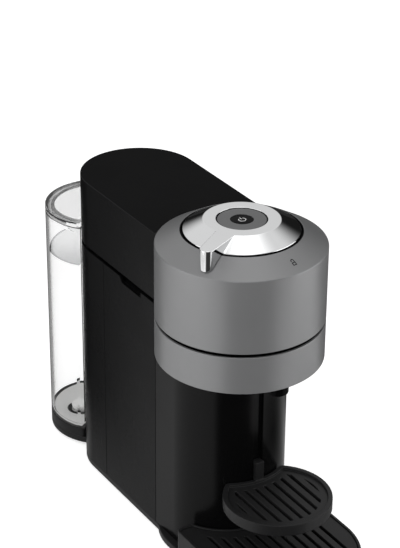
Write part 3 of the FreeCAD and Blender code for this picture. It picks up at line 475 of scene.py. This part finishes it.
def piece(bm, name, body, finish, replaced=()):
    # turns a shape in millimetres into a piece that rides on a body
    bmesh.ops.scale(bm, vec=(unit,) * 3, verts=bm.verts)
    for face in bm.faces:
        face.smooth = True
    for edge in bm.edges:
        edge.smooth = len(edge.link_faces) == 2 and edge.calc_face_angle(0) < math.radians(smoothUpTo)
    made = looseObject(bm, name)
    made.data.materials.append(finishes[finish])
    even = made.modifiers.new("evenShading", "WEIGHTED_NORMAL")
    even.keep_sharp = True
    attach(made, body)
    if replaced:
        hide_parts(*replaced)
    return made


def dressFaces(made, finish, pick):
    # a further finish for the faces that pick chooses
    made.data.materials.append(finishes[finish])
    for face in made.data.polygons:
        if pick(face):
            face.material_index = len(made.data.materials) - 1


# round head

headLook = dict(radius=71.0, wall=2.5, low=227.8, shoulder=292.7, coneRadius=50.2, coneTop=304.6, lip=3.0,
                windowHalf=49.5, windowTop=284.7, edge=0.8)


def makeUpperHead(look):
    inner = look["radius"] - look["wall"]
    bm = turnedShape([
        (look["radius"], look["low"]), (look["radius"], look["shoulder"]),
        (look["coneRadius"], look["coneTop"]), (look["coneRadius"], look["coneTop"] - look["lip"]),
        (inner, look["shoulder"] - look["wall"] / 2), (inner, look["low"])])
    window = addBox(bmesh.new(), -look["windowHalf"], look["windowHalf"], headY, headY + 2 * look["radius"],
                    look["low"] - past, look["windowTop"])
    bm = carve(bm, [window])
    soften(bm, look["edge"])
    piece(bm, "upperHead", "lid", "greySatin", ["upper_head_ring"])


lowerLook = dict(radius=71.0, wall=2.5, low=191.5, top=224.7, rearCut=-23.9, edge=0.7)


def makeLowerHead(look):
    inner = look["radius"] - look["wall"]
    bm = turnedShape([(look["radius"], look["low"]), (look["radius"], look["top"]), (inner, look["top"]),
                      (inner, look["low"])])
    bmesh.ops.bisect_plane(bm, geom=bm.verts[:] + bm.edges[:] + bm.faces[:],
                           plane_co=(0, look["rearCut"], 0), plane_no=(0, 1, 0), clear_outer=True)
    bmesh.ops.holes_fill(bm, edges=[edge for edge in bm.edges if edge.is_boundary])
    bmesh.ops.recalc_face_normals(bm, faces=bm.faces)
    soften(bm, look["edge"])
    piece(bm, "lowerHead", "machine", "greySatin", ["lower_head_ring"])


makeUpperHead(headLook)
makeLowerHead(lowerLook)
print("head made")


# black covers of the body

coverLook = dict(half=52.0, low=230.0, top=292.2, hollow=71.4, wall=2.5, edge=0.8, flat=0.95, upright=0.3,
                 rearSteps=72, hollowSteps=48)


def makeTopCover(look):
    half, hollow = look["half"], look["hollow"]
    front = headY + math.sqrt(hollow ** 2 - half ** 2)
    swing = 2 * math.degrees(math.asin(half / hollow))
    pen = Pen(half, front, look["top"])
    pen.run(half, rearY).arc(0, rearY, 180, look["rearSteps"]).run(-half, front)
    pen.arc(0, headY, -swing, look["hollowSteps"])
    bm = pen.face()
    # every edge but the hollow ones round the head grows down into a wall
    axis = Vector((0, headY))
    walls = [edge for edge in bm.edges
             if max((vert.co.xy - axis).length for vert in edge.verts) > hollow + near]
    grown = bmesh.ops.extrude_edge_only(bm, edges=walls)
    bmesh.ops.translate(bm, verts=onlyVerts(grown["geom"]), vec=(0, 0, look["low"] - look["top"]))
    bmesh.ops.recalc_face_normals(bm, faces=bm.faces)
    shell = looseObject(bm)
    wall = shell.modifiers.new("wall", "SOLIDIFY")
    wall.thickness = look["wall"]
    wall.offset = -1
    wall.use_even_offset = True
    bm = settledShape(shell)
    soften(bm, look["edge"])
    cover = piece(bm, "topCover", "lid", "blackSatin", ["top_cover"])
    # the top and the sides are one black plastic in copies for how light falls on them: the top paler and
    # duller, the sides darker and shinier like the body's, a painted shade and sheen; the edge between them
    # is shinier still, a painted highlight
    dressFaces(cover, "blackEdgeHighlight", lambda face: face.normal.z <= look["flat"])
    dressFaces(cover, "blackSide", lambda face: face.normal.z <= look["upright"])


panelLook = dict(outside=52.0, wall=2.5, front=-23.5, rear=64.8, low=9.0, top=226.8, notchFront=0.5,
                 notchRear=36.5, notchDepth=5.0, notchSlant=4.0, edge=0.35)


def makeSidePanel(side, look):
    floor = look["top"] - look["notchDepth"]
    corners = [(look["front"], look["low"]), (look["rear"], look["low"]), (look["rear"], look["top"]),
               (look["notchRear"], look["top"]), (look["notchRear"] - look["notchSlant"], floor),
               (look["notchFront"], floor), (look["notchFront"], look["top"]), (look["front"], look["top"])]
    pen = Pen(*corners[0], 0)
    for corner in corners[1:]:
        pen.run(*corner)
    pen.run(*corners[0])
    bm = thicken(pen.face(), look["wall"])
    # stand the plate up: its drawing's x, y and height become y, z and x
    bmesh.ops.transform(bm, matrix=Matrix(((0, 0, 1, 0), (1, 0, 0, 0), (0, 1, 0, 0), (0, 0, 0, 1))),
                        verts=bm.verts)
    shift = look["outside"] - look["wall"] if side > 0 else -look["outside"]
    bmesh.ops.translate(bm, vec=(shift, 0, 0), verts=bm.verts)
    soften(bm, look["edge"])
    word = "right" if side > 0 else "left"
    piece(bm, word + "SidePanel", "machine", "blackSide", [word + "_side_panel"])


makeTopCover(coverLook)
for side in (-1, 1):
    makeSidePanel(side, panelLook)
print("covers made")


# chrome knob with its lever

knobLook = dict(base=48.2, edgeTop=305.0, lip=2.5, topRadius=31.8, top=314.0, hole=21.0, skin=3.0, hub=26.6,
                hubWall=3.0, hubLow=285.0, edge=0.5)
leverLook = dict(turn=-148.8, reach=67.6, rootRadius=24.0, rootHalf=8.8, tipHalf=6.0, tipSteps=24, low=292.7,
                 clear=0.9, noseRound=1.0, rootShare=0.25, topDepth=0.5, flats=30, cutLow=100, overlap=0.2,
                 edgeAngle=24)


def makeLever(knob, lever):
    under = knob["top"] - knob["skin"]
    lean = (knob["base"] - knob["topRadius"]) / (knob["top"] - knob["edgeTop"])
    innerBase = knob["base"] - knob["skin"]
    innerTop = innerBase - lean * (under - knob["edgeTop"])
    ring = turnedShape([
        (knob["base"], knob["edgeTop"] - knob["lip"]), (knob["base"], knob["edgeTop"]),
        (knob["topRadius"], knob["top"]), (knob["hole"], knob["top"]), (knob["hole"], under),
        (knob["hub"], under), (knob["hub"], knob["hubLow"]), (knob["hub"] + knob["hubWall"], knob["hubLow"]),
        (knob["hub"] + knob["hubWall"], under), (innerTop, under), (innerBase, knob["edgeTop"]),
        (innerBase, knob["edgeTop"] - knob["lip"])], y=0)
    tip = lever["reach"] - lever["tipHalf"]
    pen = Pen(lever["rootRadius"], -lever["rootHalf"], lever["low"])
    pen.run(tip, -lever["tipHalf"]).arc(tip, 0, 180, lever["tipSteps"])
    pen.run(lever["rootRadius"], lever["rootHalf"]).run(lever["rootRadius"], -lever["rootHalf"])
    arm = thicken(pen.face(), knob["top"] - lever["low"])
    fall = (headLook["coneTop"] - headLook["shoulder"]) / (headLook["radius"] - headLook["coneRadius"])
    far = 2 * headLook["radius"]
    coneTop = headLook["coneTop"] + lever["clear"]
    cutLow = lever["cutLow"]
    belowLever = turnedShape([
        (0, cutLow), (far, cutLow), (far, coneTop - fall * (far - headLook["coneRadius"])),
        (headLook["coneRadius"], coneTop), (0, coneTop)], y=0, steps=lever["flats"])
    # one flat of the cutter faces the whole nose
    bmesh.ops.rotate(belowLever, cent=(0, 0, 0), verts=belowLever.verts,
                     matrix=Matrix.Rotation(math.pi / lever["flats"], 3, "Z"))
    # the arm reaches a little through the ring's skin, so that the two join
    overlap = lever["overlap"]
    hollow = turnedShape([
        (0, cutLow), (innerBase - overlap, cutLow), (innerBase - overlap, knob["edgeTop"]),
        (innerTop - overlap, under - overlap), (0, under - overlap)], y=0)
    arm = carve(arm, [belowLever, hollow])

    def isTop(spot):
        return spot.z > knob["top"] - lever["topDepth"]

    def noseShare(spot):
        # the rounding grows from the knob's edge to the nose
        if isTop(spot) or spot.x < knob["base"]:
            return 0
        return max(lever["rootShare"], min(1, (spot.x - knob["base"]) / (tip - knob["base"])))

    arm = softenBy(arm, lever["noseRound"], noseShare, segments=4)
    bm = carve(ring, [arm], "UNION")
    joinFlats(bm)
    soften(bm, knob["edge"], angle=lever["edgeAngle"],
           pick=lambda spot: isTop(spot) or spot.xy.length < knob["base"] + near)
    bmesh.ops.remove_doubles(bm, verts=bm.verts, dist=looseWeld)
    bmesh.ops.rotate(bm, cent=(0, 0, 0), matrix=Matrix.Rotation(math.radians(lever["turn"]), 3, "Z"),
                     verts=bm.verts)
    bmesh.ops.translate(bm, vec=(0, headY, 0), verts=bm.verts)
    piece(bm, "lockLever", "lever", "chrome", ["lock_lever"])


bezelLook = dict(outer=50.15, wall=0.6, inner=33.0, low=299.0, floor=1.5, top=304.3, edge=0.15)


def makeBezel(look):
    inner = look["outer"] - look["wall"]
    floor = look["low"] + look["floor"]
    bm = turnedShape([
        (look["inner"], look["low"]), (look["outer"], look["low"]), (look["outer"], look["top"]),
        (inner, look["top"]), (inner, floor), (look["inner"], floor)])
    soften(bm, look["edge"], segments=2)
    piece(bm, "knobBezel", "lid", "blackMatt", ["knob_bezel"])


buttonLook = dict(low=306.5, flange=23.2, flangeTop=309.3, radius=20.1, top=313.4, lensSeat=9.55,
                  lensFloor=310.8, edge=0.25)
lensLook = dict(radius=9.5, gap=0.01, rim=312.75, shoulderRadius=5.7, shoulder=313.04, top=313.1, edge=0.2)


def makeButton(look, lens):
    bm = turnedShape([
        (0, look["low"]), (look["flange"], look["low"]), (look["flange"], look["flangeTop"]),
        (look["radius"], look["flangeTop"]), (look["radius"], look["top"]), (look["lensSeat"], look["top"]),
        (look["lensSeat"], look["lensFloor"]), (0, look["lensFloor"])])
    soften(bm, look["edge"])
    piece(bm, "brewButton", "button", "buttonGrey", ["brew_button"])
    low = look["lensFloor"] + lens["gap"]
    bm = turnedShape([
        (0, low), (lens["radius"], low), (lens["radius"], lens["rim"]),
        (lens["shoulderRadius"], lens["shoulder"]), (0, lens["top"])])
    soften(bm, lens["edge"])
    piece(bm, "buttonLens", "button", "blackGloss", ["button_lens"])


glyphLook = dict(radius=2.9, width=0.62, gap=70, steps=48, barIn=1.984, barOut=1.216, low=312.8, top=313.14,
                 forward=0.4)


def makeGlyph(look):
    # the usual sign for power: an open ring and a bar
    half, middle, low, top = look["width"] / 2, look["radius"], look["low"], look["top"]
    inside, outside = middle - half, middle + half
    bm = bmesh.new()
    start = math.radians(90 + look["gap"] / 2)
    for reach, height in ((inside, low), (outside, low), (outside, top), (inside, top)):
        bm.verts.new((reach * math.cos(start), reach * math.sin(start), height))
    bm.verts.ensure_lookup_table()
    bm.faces.new(bm.verts)
    bmesh.ops.spin(bm, geom=bm.verts[:] + bm.edges[:] + bm.faces[:], cent=(0, 0, 0), axis=(0, 0, 1),
                   angle=math.radians(360 - look["gap"]), steps=look["steps"])
    bmesh.ops.recalc_face_normals(bm, faces=bm.faces)
    addBox(bm, -half, half, middle - look["barIn"], middle + look["barOut"], low, top)
    bmesh.ops.translate(bm, vec=(0, headY - look["forward"], 0), verts=bm.verts)
    piece(bm, "buttonGlyph", "button", "markWhite")


makeLever(knobLook, leverLook)
makeBezel(bezelLook)
makeButton(buttonLook, lensLook)
makeGlyph(glyphLook)
print("knob and button made")


# printed padlocks on the sloping shoulder

padlockLook = dict(line=0.75, bodyHalf=1.85, bodyHigh=3.1, shackleHalf=1.3, shackleRise=1.4, shackleSteps=20,
                   openFoot=0.77, middle=61.4, thick=0.12, proud=0.05, longEdge=0.8)


def makePadlock(name, angle, isOpen, look):
    # drawn flat with its foot towards the rim, then laid on the cone
    line, half, high, rise = look["line"], look["bodyHalf"], look["bodyHigh"], look["shackleRise"]
    outer = addBox(bmesh.new(), -half, half, -high, 0, 0, look["thick"])
    inner = addBox(bmesh.new(), -half + line, half - line, -high + line, -line, -past, past)
    bm = carve(outer, [inner])
    outside = look["shackleHalf"] + line / 2
    inside = look["shackleHalf"] - line / 2
    foot = -line / 2
    leftFoot = look["openFoot"] if isOpen else foot
    pen = Pen(outside, foot, 0)
    pen.run(outside, rise).arc(0, rise, 180, look["shackleSteps"])
    pen.run(-outside, leftFoot).run(-inside, leftFoot)
    pen.run(-inside, rise).arc(0, rise, -180, look["shackleSteps"])
    pen.run(inside, foot).run(outside, foot)
    shackle = thicken(pen.face(), look["thick"])
    bm = carve(bm, [shackle], "UNION")
    longEdges = [edge for edge in bm.edges if edge.calc_length() > look["longEdge"]]
    bmesh.ops.subdivide_edges(bm, edges=longEdges, cuts=2)
    head = headLook
    lean = math.atan2(head["coneTop"] - head["shoulder"], head["radius"] - head["coneRadius"])
    for vert in bm.verts:
        along = (rise + look["shackleHalf"] - high) / 2 - vert.co.y
        lift = vert.co.z - look["thick"] + look["proud"]
        radius = look["middle"] + along * math.cos(lean)
        height = head["shoulder"] + (head["radius"] - radius) * math.tan(lean)
        swing = math.radians(angle) + vert.co.x / radius
        radius += lift * math.sin(lean)
        height += lift * math.cos(lean)
        vert.co = (radius * math.sin(swing), headY - radius * math.cos(swing), height)
    bmesh.ops.recalc_face_normals(bm, faces=bm.faces)
    piece(bm, name, "lid", "markDark")


# name, degrees round the head from its front, whether open
padlocks = [("openPadlock", 8.9, True), ("shutPadlock", -58.8, False)]
for name, angle, isOpen in padlocks:
    makePadlock(name, angle, isOpen, padlockLook)
print("padlocks made")


# coffee spout

spoutLook = dict(y=-132.5, radius=8.6, bore=4.5, low=181.2, top=195.0, lowRound=2.0, lipDepth=3.0,
                 lipWidth=1.2, edge=0.3, steps=96)


def makeSpout(look):
    lip = look["bore"] + look["lipWidth"]
    bm = turnedShape([
        (look["bore"], look["low"] + look["lipDepth"]), (lip, look["low"]), (look["radius"], look["low"]),
        (look["radius"], look["top"]), (look["bore"], look["top"])], y=look["y"], steps=look["steps"])
    axis = Vector((0, look["y"]))
    soften(bm, look["lowRound"], segments=6,
           pick=lambda spot: spot.z < look["low"] + near and (spot.xy - axis).length > lip + near)
    soften(bm, look["edge"], segments=2)
    piece(bm, "coffeeSpout", "machine", "blackGloss", ["coffee_spout"])


makeSpout(spoutLook)
print("spout made")


# clear tank, its lid and the water in it

tankLook = dict(radius=50.5, hollow=56.0, wall=2.6, floor=3.0, horn=4.0, hornReach=1.07, hornRear=138.0,
                low=18.3, top=228.0, edge=0.7, edgeAngle=35, outerSteps=96, hollowSteps=48, neckX=-22.0,
                neckY=168.0, neckRadius=6.95)
waterLook = dict(top=190.0, gap=0.12, valveRadius=9.0, valveRise=2.8)


def crescentShape(inset, low, high, corner):
    # the tank's outline, moved inwards: a round rear and a front hollowed to the body, with rounded horns
    outer, hollow, apart = tankLook["radius"] - inset, tankLook["hollow"] + inset, tankY - rearY
    along = (hollow ** 2 - outer ** 2 + apart ** 2) / (2 * apart)
    half = math.sqrt(hollow ** 2 - along ** 2)
    pen = Pen(half, rearY + along, low)
    pen.arc(0, tankY, 180 - 2 * math.degrees(math.atan2(along - apart, half)), tankLook["outerSteps"])
    pen.arc(0, rearY, 2 * math.degrees(math.atan2(along, half)) - 180, tankLook["hollowSteps"])
    bm = pen.face()
    ends = [Vector((side * half, rearY + along, low)) for side in (-1, 1)]
    horns = [vert for vert in bm.verts if min((vert.co - end).length for end in ends) < near]
    bmesh.ops.bevel(bm, geom=horns, offset=corner * tankLook["hornReach"], segments=6, profile=0.5,
                    affect="VERTICES", material=-1)
    return thicken(bm, high - low)


def makeTank(look, water):
    floor = look["low"] + look["floor"]
    innerHorn = look["horn"] - look["wall"]
    bm = crescentShape(0, look["low"], look["top"], look["horn"])
    neck = rodShape(look["neckRadius"], look["low"] - past, floor + past, look["neckX"], look["neckY"])
    bm = carve(bm, [crescentShape(look["wall"], floor, look["top"] + past, innerHorn), neck])
    soften(bm, look["edge"], angle=look["edgeAngle"])
    tank = piece(bm, "waterTank", "tank", "clearWall", ["water_tank"])
    # the two thick corners beside the body hardly bend the light
    dressFaces(tank, "clearHorn", lambda face: face.center.y < look["hornRear"] * unit)
    # the water clears the wall and the valve
    wet = look["wall"] + water["gap"]
    bm = crescentShape(wet, floor + water["gap"], water["top"], innerHorn)
    valve = rodShape(water["valveRadius"], floor - past, floor + water["valveRise"], look["neckX"],
                     look["neckY"])
    pool = piece(carve(bm, [valve]), "tankWater", "tank", "water")
    # the water's top takes the painted shade of its face
    dressFaces(pool, "waterTopPaintedShade", lambda face: face.center.z > (water["top"] - near) * unit)


lidLook = dict(seatGap=0.02, rim=233.7, band=8.0, recess=1.8, plugDepth=5.0, plugGap=0.3, room=1.7,
               innerHorn=0.8, edge=0.6, hornRear=144.0)
lidPanelLook = dict(gap=0.35, lift=0.03, thick=0.5, horn=0.6, edge=0.15)


def makeTankLid(tank, look, panel):
    plug = tank["wall"] + look["plugGap"]
    low = tank["top"] - look["plugDepth"]
    floor = look["rim"] - look["recess"]
    horn = look["innerHorn"]
    bm = crescentShape(0, tank["top"] + look["seatGap"], look["rim"], tank["horn"])
    bm = carve(bm, [crescentShape(plug, low, tank["top"] + past, tank["horn"] - tank["wall"])], "UNION")
    bm = carve(bm, [crescentShape(look["band"], floor, look["rim"] + past, horn),
                    crescentShape(plug + tank["wall"], low - past, tank["top"] + look["room"], horn)])
    soften(bm, look["edge"], angle=tank["edgeAngle"])
    lid = piece(bm, "tankLid", "tank_cap", "clear", ["tank_lid"])
    # its corners are fainter, with a paler painted shade than the rim band, and the thin plug inside the
    # tank's wall hardly shows
    dressFaces(lid, "lidHorn", lambda face: face.center.y < look["hornRear"] * unit)
    dressFaces(lid, "clearHorn", lambda face: face.center.z < tank["top"] * unit)
    low = floor + panel["lift"]
    bm = crescentShape(look["band"] + panel["gap"], low, low + panel["thick"], panel["horn"])
    soften(bm, panel["edge"], segments=2, angle=tank["edgeAngle"])
    piece(bm, "tankLidPanel", "tank_cap", "frosted")


# the mat's paleness is painted light for the tank's bright floor
matLook = dict(inset=4.5, low=18.02, thick=0.2, horn=1.0, hole=13.0)


def makeTankBrighteningMat(tank, look):
    # pale mat that the tank stands on, put there so the tank's floor looks bright through the water: painted
    # light
    low = look["low"]
    bm = crescentShape(look["inset"], low, low + look["thick"], look["horn"])
    hole = rodShape(look["hole"], low - past, low + past, tank["neckX"], tank["neckY"])
    piece(carve(bm, [hole]), "tankBrighteningMat", "machine", "whiteNylon")


makeTank(tankLook, waterLook)
makeTankLid(tankLook, lidLook, lidPanelLook)
makeTankBrighteningMat(tankLook, matLook)
print("tank made")


# softened copies of the other outer solids: node, piece, body, finish, edge width
copies = [
    ("rear_shell", "rearShell", "machine", "blackSide", 0.35),
    ("pod_bin", "podBin", "bin", "blackShine", 0.5),
    ("cup_support", "cupSupport", "support", "blackTray", 0.5),
    ("drip_tray", "dripTray", "tray", "blackTray", 0.6),
    ("drip_grid", "dripGrid", "grid", "blackTray", 0.4),
    ("base_plate", "basePlate", "machine", "blackTray", 0.8),
    ("tank_dock", "tankDock", "machine", "blackTray", 0.5),
    ("head_floor", "headFloor", "machine", "blackTray", 0.5),
    ("brew_bowl", "brewBowl", "machine", "blackInner", 0.4),
    ("pod_holder", "podHolder", "holder", "blackInner", 0.4),
    ("cable_gland", "cableGland", "machine", "blackInner", 0.4),
]
copyAngle = 35                 # degrees from which their edges are rounded
for node, name, body, finish, edgeWidth in copies:
    shape = nodeShape(node)
    soften(shape, edgeWidth, angle=copyAngle)
    piece(shape, name, body, finish, [node])
print("softened copies made:", len(copies))


# finishes of the solids that are shown as they are
nodeFinishes = {
    "blackMatt": "main_frame",
    "blackInner": "tank_socket lid_frame knob_spigot bearing_carrier code_reader lock_ring",
    "rubber": "rubber_feet pump_mount drive_belt brew_seal",
    "hose": "suction_hose feed_hose pressure_hose hot_hose lid_hose",
    "steel": "base_screws hinge_pin holder_bearing heater_stand lid_screws rotor_bearing injector "
             "motor_shaft",
    "aluminium": "heater_block brew_rotor rotor_pulley motor_pulley",
    "brass": "deck_union lid_union",
    "whiteNylon": "flow_meter tank_valve",
    "paint": "water_pump motor_case",
    "board": "control_board button_board",
}
for finish, names in nodeFinishes.items():
    for name in names.split():
        slots = nodes[name].data.materials
        slots.clear()
        slots.append(finishes[finish])
print("solids finished")


# floor, light and camera, in metres

floorLook = dict(half=4.0, pale=0.84, rough=0.9, darkGlow=0.01, eyeGlow=0.58, farGlow=0.42,
                 farFade=(0.5, 1.3), frontWay=(-0.339, -0.941, 0), frontFade=(0.79, 0.9),
                 backWay=(0.527, 0.85, 0), backFade=(0.09, 0.2), sideWay=(0.867, 0.497, 0),
                 sideFade=(-0.07, 0.01), sideReach=(-0.12, -0.05), dimSpot=(0.22, -0.17, 0),
                 dimReach=(0.0, 0.2), glossPaintedDark=0.97, glassGlow=0.72, bounceDark=0.6)


def makeFloor(look):
    bm = bmesh.new()
    bmesh.ops.create_grid(bm, x_segments=1, y_segments=1, size=look["half"])
    floor = looseObject(bm, "floor")
    material, tree, shader, place = blankFinish("paleFloor")
    feed(tree, shader, {
        "Base Color": grey(look["pale"]), "Roughness": look["rough"], "Specular IOR Level": 0.0})
    # white to the eye and to glass, with its shadow kept; to gloss all but its lit part is painted dark, a
    # painted reflection of a dark room
    away = place.node("ShaderNodeVectorMath", {"operation": "LENGTH"}, {0: place}, out="Value")
    far = away.over(*look["farFade"])
    out = place.node("ShaderNodeVectorMath", {"operation": "SUBTRACT"}, {0: place, 1: (0, headY * unit, 0)})
    out = place.node("ShaderNodeVectorMath", {"operation": "NORMALIZE"}, {0: out})
    front = 1 - out.along(look["frontWay"]).over(*look["frontFade"])
    back = 1 - place.along(look["backWay"]).over(*look["backFade"])
    side = 1 - place.along(look["sideWay"]).over(*look["sideFade"])
    isRight = place.along((1, 0, 0)).over(*look["sideReach"])
    lit = front * (side + isRight * (back - side)) * place.farFrom(look["dimSpot"]).over(*look["dimReach"])
    eye, glass, gloss, bounced = place.rays()
    through = glass * (1 - bounced * look["bounceDark"])
    direct = eye + through * look["glassGlow"]
    glow = place.node("ShaderNodeEmission", None, {
        "Color": grey(1), "Strength": direct * (look["eyeGlow"] + far * look["farGlow"])})
    seen = place.node("ShaderNodeAddShader", None, {0: glow, 1: Shade(tree, shader.outputs[0])})
    dark = place.node("ShaderNodeEmission", None, {"Color": grey(1), "Strength": look["darkGlow"]})
    # painted dark in reflections, though the floor there is lit
    glossPaintedDark = gloss * (1 - through) * (1 - lit) * look["glossPaintedDark"]
    mixed = place.node("ShaderNodeMixShader", None, {0: glossPaintedDark, 1: seen, 2: dark})
    feed(tree, tree.nodes["Material Output"], {"Surface": mixed})
    floor.data.materials.append(material)


worldLook = dict(ambient=0.5, horizon=0.01, sky=0.74, skyFade=(0.02, 0.5), zenith=0.75,
                 zenithFade=(0.55, 0.95), rightWay=(0.851, -0.524, 0), rightFade=(0.0, 0.6), rightDim=0.3,
                 leftFade=(0.06, -0.44), leftDim=0.6, bounceDark=0.9, glassEdge=0.8)


def makeWorld(look):
    world = bpy.data.worlds.new("studio")
    scene.world = world
    world.use_nodes = True
    tree = world.node_tree
    start = Shade(tree)
    eye, glass, gloss, bounced = start.rays()
    white = eye.node("ShaderNodeClamp", None, {"Value": eye + glass * (1 - bounced * look["bounceDark"])})
    # what gloss sees: a sky that brightens to the zenith, dimmer to the right and narrower to the left
    way = start.node("ShaderNodeTexCoord", out="Generated")
    rise = way.node("ShaderNodeSeparateXYZ", None, {0: way}, out="Z")
    across = way.along(look["rightWay"])
    height = rise - across.over(*look["rightFade"]) * look["rightDim"]
    mirrored = look["horizon"] + height.over(*look["skyFade"]) * (look["sky"] - look["horizon"])
    crown = height - across.over(*look["leftFade"]) * look["leftDim"]
    mirrored = mirrored + crown.over(*look["zenithFade"]) * look["zenith"]
    dim = look["ambient"] + gloss * (mirrored - look["ambient"])
    edge = 1 - glass * bounced * look["glassEdge"]
    feed(tree, tree.nodes["Background"], {"Color": grey(1), "Strength": white + (1 - white) * dim * edge})


# name, place, size, brightness, aim
lamps = [
    ("overhead", (-0.25, -0.3, 1.45), (0.9, 0.9), 0.8, (0, -0.05, 0.25)),
    ("key", (-0.75, 0.35, 1.0), (0.3, 0.3), 5.0, (0, -0.1, 0.28)),
    ("frontFill", (-0.75, -1.2, 0.5), (1.2, 0.6), 2.9, (0, -0.1, 0.2)),
    ("leftSoftbox", (-0.57, -0.01, 0.36), (0.6, 0.68), 1.06, (0, -0.07, 0.26)),
    ("rightSoftbox", (0.48, -0.39, 0.36), (0.56, 0.68), 1.5, (0, -0.07, 0.26)),
]


def makeLamp(name, place, size, brightness, aim):
    data = bpy.data.lights.new(name, "AREA")
    data.shape = "RECTANGLE"
    data.size, data.size_y = size
    data.energy = brightness * math.pi * size[0] * size[1]
    lamp = bpy.data.objects.new(name, data)
    scene.collection.objects.link(lamp)
    lamp.visible_camera = False
    lamp.visible_transmission = False
    lamp.visible_glossy = name.endswith("Softbox")
    lamp.location = place
    lamp.rotation_euler = (Vector(aim) - Vector(place)).to_track_quat("-Z", "Y").to_euler()


# the turns are in degrees, the focal length and frame in pixels, the sensor in millimetres
cameraLook = dict(place=(-0.76298, -1.23938, 0.97831), turn=-31.839, rise=27.177, roll=0.465, focal=1916.4,
                  frameHeight=548, sensor=36.0)


def makeCamera(look):
    data = bpy.data.cameras.new("camera")
    data.sensor_width = look["sensor"]
    data.lens = look["focal"] / look["frameHeight"] * look["sensor"]
    camera = bpy.data.objects.new("camera", data)
    scene.collection.objects.link(camera)
    turn, rise, roll = (math.radians(look[key]) for key in ("turn", "rise", "roll"))
    back = Vector((math.sin(turn) * math.cos(rise), -math.cos(turn) * math.cos(rise), math.sin(rise)))
    right = Vector((math.cos(turn), math.sin(turn), 0))
    up = back.cross(right)
    tilted = math.cos(roll) * right + math.sin(roll) * up
    upright = math.cos(roll) * up - math.sin(roll) * right
    turned = Matrix((tilted, upright, back)).transposed().to_4x4()
    camera.matrix_world = Matrix.Translation(look["place"]) @ turned
    scene.camera = camera


makeFloor(floorLook)
makeWorld(worldLook)
for lamp in lamps:
    makeLamp(*lamp)
makeCamera(cameraLook)
scene.view_settings.view_transform = "Standard"
print("floor, light and camera made")
